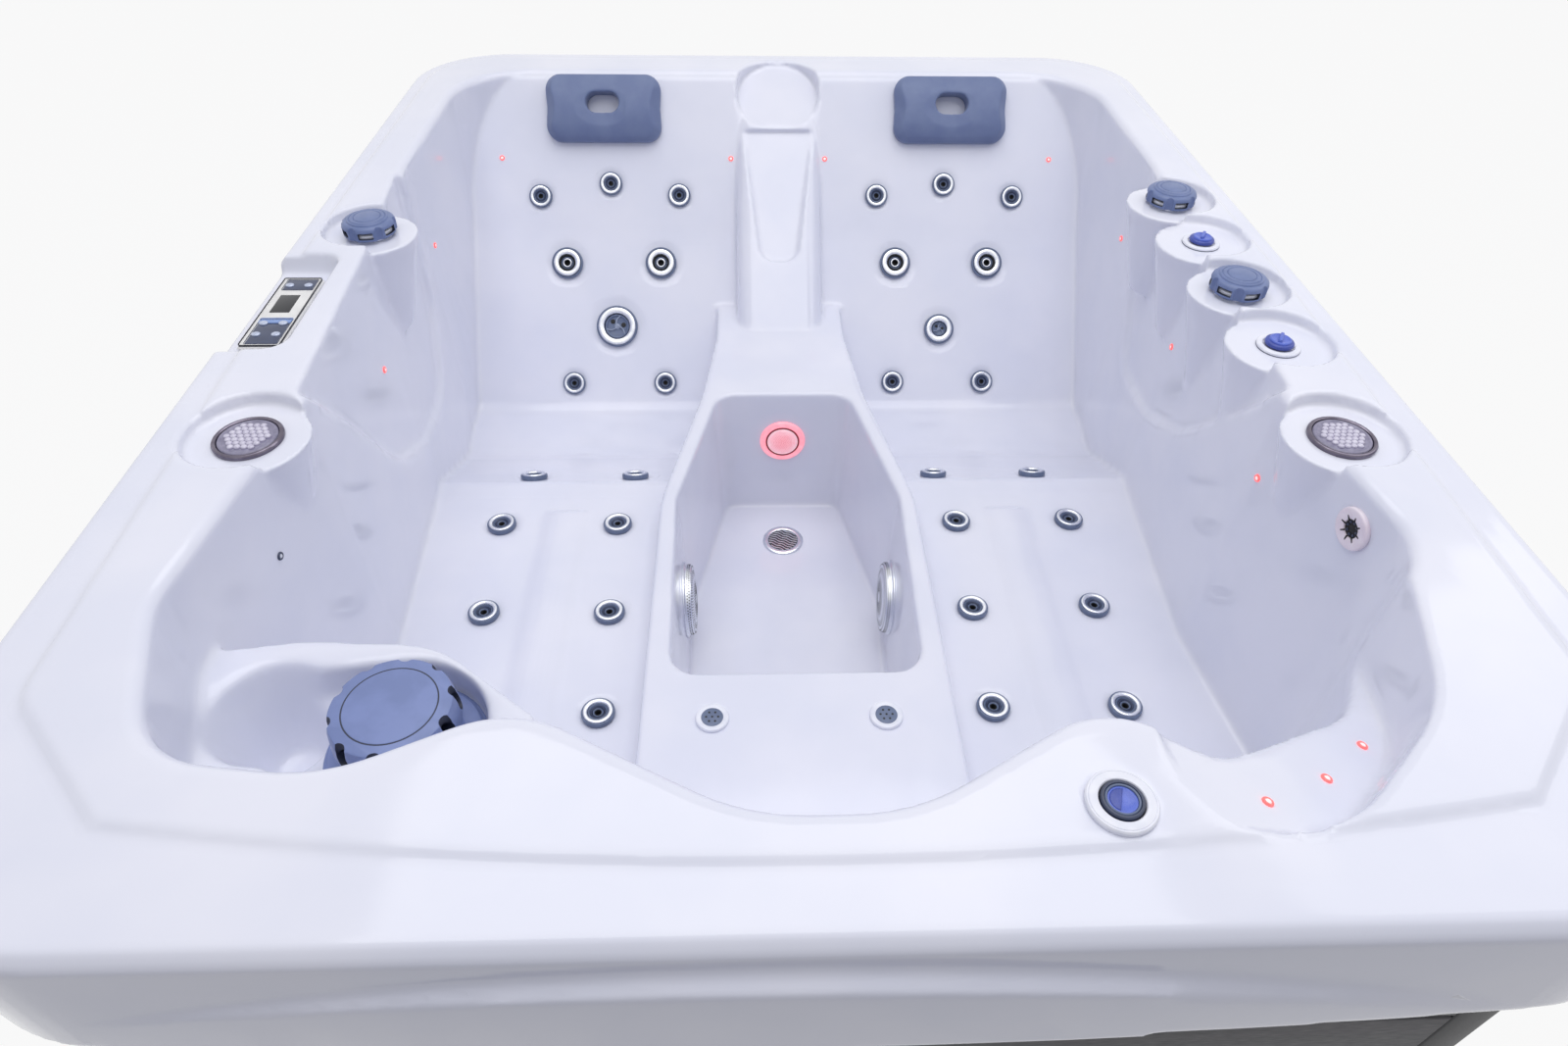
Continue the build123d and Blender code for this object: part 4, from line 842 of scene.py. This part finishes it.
for name, (x, y) in knobs.items():
    knob = turned("knob", knob_profile, knob_slate, 144, 0)
    cuts = []
    for i in range(6):
        around = Matrix.Rotation(2 * pi * i / 6 + radians(7.5), 4, "Z")
        notch = turned("notch", [(8.5, 0), (8.5, 40)], knob_slate, 40, 0)
        notch.data.transform(around @ Matrix.Translation((0.0468, 0, 0)))
        cuts.append(notch)
        window = block((0.040, 0, 0.0150), (0.018, 0.0235, 0.0105), knob_shadow, 0.0015)
        window.data.transform(around @ Matrix.Rotation(pi / 6, 4, "Z"))
        cuts.append(window)
    carved(knob, cuts)
    apply(knob, "BEVEL", width=0.0009, segments=2, limit_method="ANGLE", angle_limit=radians(35))
    bpy.ops.object.shade_smooth_by_angle(angle=radians(35))
    inner = turned("inner", [(37.2, 6.5), (37.2, 13.6), (35.4, 15.2), (33, 15.6)], silver, 72, 0.3)
    crown = turned("crown", crown_profile, knob_slate, 96, 0.15)
    knob = joined("diverter_knob_" + name + "_finish", [knob, inner, crown])
    knob.data.transform(level(x, y, pad_top))
    ready(knob, "diverter_" + name, "slate_plastic", "diverter_knob_" + name)

# Air controls: a white bezel with a thin dark ring under its edge, and a stepped blue knob with a grip
# bar across it.
# ABS, moulded in two tones of blue and left glossy; the deeper tone is also painted over half of the pump
# button's dished middle as its shade
blue = finish("abs_moulded_blue", "#5F74D2", "#566BC8", 12, 0.5, 0.005, 0.05, Roughness=0.28)
deep_blue_and_shade = finish("abs_moulded_deep_blue", "#3F50A8", "#37489C", 12, 0.5, 0.005, 0.05, Roughness=0.3)
air_knobs = {"rear": (688, 118), "front": (688, -200)}
grip_turn = radians(60)
bezel_profile = [(29.4, 0.6), (30, 1.4), (30, 3.4), (28.6, 4.8), (23, 5.2), (21.4, 4.4), (21, 2)]
bezel = turned("bezel", bezel_profile, white, 72)
gasket = turned("gasket", [(28.6, -1), (30.2, 0.1), (30.2, 1.0), (28, 1.2)], dark_slate_and_shade, 72)
bezel = joined("bezel", [bezel, gasket])
bezels = copied_all(bezel, "air_valves_finish", [level(x, y, pad_top) for x, y in air_knobs.values()])
ready(bezels, "tub", "white_plastic", "air_valves")
skirt_profile = [(19.4, 5.5), (20, 6.2), (19.6, 9.8), (18, 11.2), (15.6, 11.6)]
crown_profile = [(15.2, 9), (15.2, 12.6), (14.2, 14.0), (12.4, 14.4), (11.4, 13.2), (4, 12.6)]
for name, (x, y) in air_knobs.items():
    skirt = turned("skirt", skirt_profile, deep_blue_and_shade, 64)
    crown = turned("crown", crown_profile, blue, 64)
    grip = block((0, 0, 0.0148), (0.024, 0.0052, 0.0068), blue, 0.0018, 4)
    bpy.ops.object.shade_smooth_by_angle(angle=radians(35))
    knob = joined("air_knob_" + name + "_finish", [skirt, crown, grip])
    knob.data.transform(level(x, y, pad_top) @ Matrix.Rotation(grip_turn, 4, "Z"))
    ready(knob, "air_" + name, "blue_plastic", "air_knob_" + name)

# Pump button: a wide white bezel with a fine groove, round a sprung button of stepped slate and blue
# rings with a dished middle.
button_place = level(243, -936, 806)
button_turn = radians(-20)
bezel_profile = [(21, -10), (21, -1), (30.2, -1), (31, 0.6), (31, 4), (29.8, 5.8), (28.6, 5.9), (28.2, 5.2)]
bezel_profile += [(27.8, 6.0), (20.8, 6.2), (19.9, 5.2), (19.6, 1), (19.5, -9)]
bezel = turned("button_bezel_finish", bezel_profile, white, 96, 0.15)
bezel.data.transform(button_place)
ready(bezel, "tub", "white_plastic", "button_bezel")
outer_profile = [(18.5, -4), (18.5, 6.6), (17.6, 7.7), (15.8, 7.9), (15.3, 6.8), (15.1, 3)]
outer = turned("outer", outer_profile, dark_slate_and_shade, 72, 0.2)
inner_profile = [(15.2, 2), (15.2, 7.0), (14.4, 7.7), (13.2, 7.4), (12.9, 6.0), (12.7, 1)]
inner = turned("inner", inner_profile, slate, 72, 0.2)
middle = turned("middle", [(12.8, 1), (12.8, 6.2), (11.6, 6.4), (9, 4.8), (4, 4.3)], blue, 72, 0.2)
# A raised half disc of the deeper blue over one side of the dished middle: painted shade of the dish
half = turned("half", [(11.2, 3.5), (11.2, 6.2), (10.4, 6.8)], deep_blue_and_shade, 72, 0.2)
alone(half)
bpy.ops.object.mode_set(mode="EDIT")
bpy.ops.mesh.select_all(action="SELECT")
bpy.ops.mesh.bisect(plane_co=(-0.001, 0, 0), plane_no=(1, 0, 0), use_fill=True, clear_outer=True)
bpy.ops.object.mode_set(mode="OBJECT")
press = joined("pump_button_finish", [outer, inner, middle, half])
press.data.transform(button_place @ Matrix.Rotation(button_turn, 4, "Z"))
ready(press, "button", "blue_plastic", "pump_button")

# Control panel: a cream frame let into the left rim, with a printed face of dark and cream fields
# under a clear film, a sunk display window and six oval silver keys. Its lettering is left out.
# ABS, moulded: a warm white frame
cream = finish("abs_moulded_cream", "#EBEAE8", "#E2E1E0", 26, 0.7, 0.008, 0.05, Roughness=0.3)
# Polyester film, printed on its back: flat fields under an even gloss
film_navy = finish("printed_film_navy", "#3C4664", "#353F5C", 18, 0.6, 0.002, 0.03, Roughness=0.12)
film_blue = finish("printed_film_gloss_blue", "#84A0D6", "#7A96CE", 12, 0.6, 0.002, 0.03, Roughness=0.12)
# Acrylic, tinted: a display that is off is a deep black mirror, with a flat printed line round it
window_black = finish("acrylic_window_dark", "#171922", "#12141C", 18, 0.8, 0.001, 0.02, Roughness=0.06)
outline_black = finish("printed_outline", "#1C1D24", "#17181E", 18, 0.6, 0.002, 0.04, Roughness=0.3)
# Silicone, sprayed silver: soft keys with a pearly sheen
key_silver = finish(
    "silicone_key_silver", "#C6CEE2", "#B6BFD6", 6, 0.4, 0.005, 0.05, Roughness=0.24, Metallic=0.3
)


def plate(name, centre, size, material, edge=0.3, corner=0):
    """Bevelled block in mm, on the panel's own axes."""
    made = block([v / 1000 for v in centre], [v / 1000 for v in size], material)
    made.name = name
    if corner:
        bpy.ops.object.mode_set(mode="EDIT")
        bpy.ops.mesh.select_all(action="DESELECT")
        bpy.ops.object.mode_set(mode="OBJECT")
        for line in made.data.edges:
            ends = [made.data.vertices[v].co for v in line.vertices]
            line.select = abs(ends[0].z - ends[1].z) > 0.9 * size[2] / 1000
        bpy.ops.object.mode_set(mode="EDIT")
        bpy.ops.mesh.bevel(offset=corner / 1000, segments=5)
        bpy.ops.object.mode_set(mode="OBJECT")
    apply(made, "BEVEL", width=edge / 1000, segments=2, limit_method="ANGLE", angle_limit=radians(60))
    bpy.ops.object.shade_smooth_by_angle(angle=radians(35))
    return made


panel_place = level(-752, -88, 774)
housing = plate("panel_housing_finish", (0, 0, 3.6), (62, 196, 7.6), cream, 1.6, 5)
housing.data.transform(panel_place)
ready(housing, "tub", "panel_frame", "panel_housing")
face_pieces = [
    plate("outline", (0, 0, 7.6), (57, 191, 0.9), outline_black, 0.1, 3),
    plate("field", (0, 0, 7.8), (54.5, 188.5, 1.1), cream, 0.1, 2),
    plate("far", (1, 76, 8.0), (47, 32, 1.2), film_navy, 0.1, 2),
    plate("near", (1, -58, 8.0), (47, 66, 1.2), film_navy, 0.1, 2),
    plate("gloss", (1, -29, 8.1), (47, 14, 1.2), film_blue, 0.1, 2),
    plate("window_edge", (-3, 20, 8.0), (30, 52, 1.2), outline_black, 0.1, 1),
    plate("window", (-3, 20, 8.1), (27.5, 49.5, 1.2), window_black, 0.1, 1),
]
panel_face = joined("panel_face_finish", face_pieces)
panel_face.data.transform(panel_place)
ready(panel_face, "tub", "dark_screen", "panel_face")
key_places = [(-14, 74), (14, 74), (-14, -36), (14, -36), (-14, -66), (14, -66)]
key_profile = [(6.4, 6), (6.4, 9.6), (5.6, 10.5), (3.4, 11.0)]
oval = Matrix.Diagonal((1, 0.84, 1, 1))
for number, (x, y) in enumerate(key_places, 1):
    key = turned(f"panel_key_{number}_finish", key_profile, key_silver, 40)
    key.data.transform(panel_place @ Matrix.Translation((x / 1000, y / 1000, 0)) @ oval)
    ready(key, f"key_{number}", "key_rubber", f"panel_key_{number}")

# Rim lamps: a dark chrome ring, and a clear lens moulded with a honeycomb of small bubbles over a
# reflector.
# ABS, plated in black chrome: a dark mirror with a violet cast
dark_chrome = finish(
    "abs_black_chrome", "#7A7482", "#6A6472", 12, 0.5, 0.003, 0.05, Metallic=1.0, Roughness=0.17
)
# Acrylic, moulded clear over a reflector: glossy bubbles on a grey-violet ground, the bubbles painted pale as
# highlight
bubble = finish(
    "acrylic_lens_bubble", "#D3CFE0", "#C2BDD2", 9, 0.6, 0.003, 0.03, Roughness=0.08, Coat_Weight=0.6
)
lens_grey = finish("acrylic_lens_grey", "#8F8BA3", "#7D7992", 9, 0.6, 0.003, 0.04, Roughness=0.15)
lamps_at = [level(-682, -403, pad_top), level(681, -415, pad_top)]
ring = turned(
    "ring",
    [(41, -1), (42, 0.6), (42, 4), (40.6, 5.9), (37.8, 6.2), (36.4, 5.2), (36, 2)],
    dark_chrome,
    96,
)
rings = copied_all(ring, "lamp_rings_finish", lamps_at)
ready(rings, "tub", "chrome_ring", "lamp_rings")
lens_profile = [(35.5, 2), (35.5, 4.4), (34, 5.6), (31.4, 5.8), (30.6, 5.0), (20, 5.8), (8, 6.3)]
lens_pieces = [turned("lens", lens_profile, lens_grey, 96)]
bpy.ops.object.select_all(action="DESELECT")
bpy.ops.mesh.primitive_uv_sphere_add(segments=12, ring_count=8, radius=0.0042)
bump = bpy.context.object
bpy.ops.object.shade_smooth()
bump.data.transform(Matrix.Diagonal((1, 1, 0.62, 1)))
bump.data.materials.append(bubble)
bubble_pitch = 8.2
row_pitch = 0.866
bubble_reach = 27.5
for i in range(-4, 5):
    for j in range(-4, 5):
        x = bubble_pitch * (i + 0.5 * (j % 2))
        y = bubble_pitch * j * row_pitch
        if (x * x + y * y) ** 0.5 < bubble_reach:
            lens_pieces.append(copied(bump, "bump", Matrix.Translation((x / 1000, y / 1000, 0.0058))))
bpy.data.objects.remove(bump)
lens = joined("lens", lens_pieces)
lenses = copied_all(lens, "lamp_lenses_finish", lamps_at)
ready(lenses, "tub", "clear_lens", "lamp_lenses")

# Headrests: soft skinned polyurethane foam in slate, pressed on two pegs. Each is crowned, with large
# round corners, an oval opening through it and a scoop for the neck that ends in a soft step.
# Polyurethane, foamed in a closed mould: a dense matt skin with fine pores and a faint bloom
foam = finish(
    "polyurethane_skinned_foam", "#6E7CA0", "#65739A", 45, 1.1, 0.03, 0.07, Roughness=0.56, Sheen_Weight=0.12
)
headrest_x, headrest_z = 386, 738
scoop_radius = 0.30
scoop_height = 0.338
scoop_end = 0.050
for name, side in (("left", -1), ("right", 1)):
    place = on_backrest(side * headrest_x, headrest_z)
    pillow = from_node("pillow_" + name)
    bpy.ops.object.select_all(action="DESELECT")
    bpy.ops.mesh.primitive_cylinder_add(vertices=160, radius=scoop_radius, depth=0.30, rotation=(pi / 2, 0, 0))
    scoop = bpy.context.object
    bpy.ops.object.transform_apply()
    scoop.data.transform(Matrix.Translation((0, 0, scoop_height)))
    bpy.ops.object.mode_set(mode="EDIT")
    bpy.ops.mesh.select_all(action="SELECT")
    bpy.ops.mesh.bisect(plane_co=(scoop_end, 0, 0), plane_no=(1, 0, 0), use_fill=True, clear_outer=True)
    bpy.ops.object.mode_set(mode="OBJECT")
    scoop.data.transform(place)
    apply(pillow, "BOOLEAN", object=scoop, operation="DIFFERENCE", solver="EXACT")
    bpy.data.objects.remove(scoop)
    apply(pillow, "REMESH", mode="VOXEL", voxel_size=0.0024)
    apply(pillow, "SMOOTH", factor=0.5, iterations=10)
    bpy.ops.object.shade_smooth()
    pillow.data.materials.append(foam)
    pillow.name = "pillow_" + name + "_finish"
    ready(pillow, "headrest_" + name, "headrest_foam", "pillow_" + name)

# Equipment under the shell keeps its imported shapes: galvanised posts and rails, a moulded tray, white
# plastic pipe and valves, a black pump and blower, a pale control box and a pleated fleece cartridge.
# Steel, hot-dip galvanised: dull grey with spangles about 15 mm wide
galvanised = finish(
    "steel_galvanised", "#AEB2B8", "#9A9FA6", 15, 1.5, 0.01, 0.08, Metallic=1.0, Roughness=0.42
)
# Polyethylene sheet, vacuum formed: black, with a slack uneven gloss
tray_black = finish("polyethylene_tray", "#2A2B2F", "#232428", 60, 2.0, 0.05, 0.07, Roughness=0.5)
# Nylon filled with glass, moulded: a dull black with a fine dry grain
pump_black = finish("glass_filled_nylon", "#232428", "#1C1D21", 30, 0.9, 0.02, 0.06, Roughness=0.45)
# Aluminium, cast and painted: an even dark grey over a faintly pebbled casting
motor_grey = finish("cast_aluminium_painted", "#40454D", "#383D44", 40, 1.2, 0.04, 0.06, Roughness=0.5)
# PVC pipe, extruded: white, with a soft shine
pvc_white = finish("pvc_pipe_white", "#DFE1E4", "#D5D8DC", 70, 3.0, 0.02, 0.05, Roughness=0.35)
# Polyester fleece, pleated: matt and white, with a felted nap
fleece = finish("filter_fleece_pleated", "#E8E9EC", "#DADCE0", 12, 0.6, 0.06, 0.05, Roughness=0.85)
# Stainless steel tube, drawn: a bright metal with a blurred reflection
heater_steel = finish(
    "stainless_steel_tube", "#CDCFD4", "#BFC2C8", 30, 0.8, 0.006, 0.07, Metallic=1.0, Roughness=0.3
)
equipment = {
    "frame_posts": galvanised,
    "frame_rails": galvanised,
    "base_pan": tray_black,
    "pump_motor": motor_grey,
    "pump_housing": pump_black,
    "impeller": pump_black,
    "heater": heater_steel,
    "control_box": cream,
    "air_blower": pump_black,
    "pipework": pvc_white,
    "drain_valve": pump_black,
    "drain_cap": pump_black,
    "filter_canister": cap_slate,
    "filter_cartridge": fleece,
}
for name, material in equipment.items():
    for slot in nodes[name].material_slots:
        slot.material = material

# Camera at the place of the photograph, which looks down into the tub from its front edge
pitch, yaw, roll = radians(42.575), radians(2.512), radians(1.189)
focal_px = 985.46
photo_width = 1600
camera_place = (-0.063984, -1.364765, 1.523904)
camera = bpy.data.cameras.new("camera")
camera.sensor_width = 36
camera.lens = focal_px / photo_width * camera.sensor_width
camera_object = bpy.data.objects.new("camera", camera)
aim = Matrix.Rotation(-yaw, 4, "Z") @ Matrix.Rotation(pi / 2 - pitch, 4, "X") @ Matrix.Rotation(roll, 4, "Z")
camera_object.matrix_world = Matrix.Translation(camera_place) @ aim
bpy.context.scene.collection.objects.link(camera_object)
bpy.context.scene.camera = camera_object

# Studio: a pale floor that keeps a faint shadow, a white surround and soft lamps overhead


def seen(tree):
    """Node that is 1 where the camera, a reflection or a view through glass meets the surface."""
    path = node(tree, "ShaderNodeLightPath")
    rays = {0: (path, "Is Camera Ray"), 1: (path, "Is Glossy Ray")}
    direct = node(tree, "ShaderNodeMath", links=rays, operation="MAXIMUM")
    rays = {0: (direct, 0), 1: (path, "Is Transmission Ray")}
    return node(tree, "ShaderNodeMath", links=rays, operation="MAXIMUM")


white_share = 0.93
floor_paint = bpy.data.materials.new("floor_paint")
floor_paint.use_nodes = True
tree = floor_paint.node_tree
tree.nodes.remove(tree.nodes["Principled BSDF"])
share = node(tree, "ShaderNodeMath", {1: white_share}, {0: (seen(tree), 0)}, operation="MULTIPLY")
lit = node(tree, "ShaderNodeBsdfDiffuse", {"Color": linear("#8E8E96")})
bright = node(tree, "ShaderNodeEmission", {"Color": (1, 1, 1, 1), "Strength": 1.0})
both = node(tree, "ShaderNodeMixShader", links={0: (share, 0), 1: (lit, 0), 2: (bright, 0)})
tree.links.new(both.outputs[0], tree.nodes["Material Output"].inputs["Surface"])
bpy.ops.object.select_all(action="DESELECT")
bpy.ops.mesh.primitive_plane_add(size=60)
floor = bpy.context.object
floor.name = "floor"
floor.data.materials.append(floor_paint)

world = bpy.data.worlds.new("studio")
bpy.context.scene.world = world
world.use_nodes = True
tree = world.node_tree
soft = node(tree, "ShaderNodeBackground", {"Color": linear("#F4F5FC"), "Strength": 0.52})
plain = node(tree, "ShaderNodeBackground", {"Color": (1, 1, 1, 1), "Strength": 1.0})
both = node(tree, "ShaderNodeMixShader", links={0: (seen(tree), 0), 1: (soft, 0), 2: (plain, 0)})
tree.links.new(both.outputs[0], tree.nodes["World Output"].inputs["Surface"])

lamps = [
    ("overhead", (0.0, -0.1, 3.6), (0, 0, 0), 3.0, 55),
    ("window", (2.4, 0.3, 2.8), (radians(38), 0, radians(100)), 1.6, 10),
]
for name, place, turn, size, power in lamps:
    lamp = bpy.data.lights.new(name, "AREA")
    lamp.size = size
    lamp.energy = power
    lamp_object = bpy.data.objects.new(name, lamp)
    lamp_object.location = place
    lamp_object.rotation_euler = turn
    bpy.context.scene.collection.objects.link(lamp_object)

bpy.context.scene.view_settings.view_transform = "Standard"
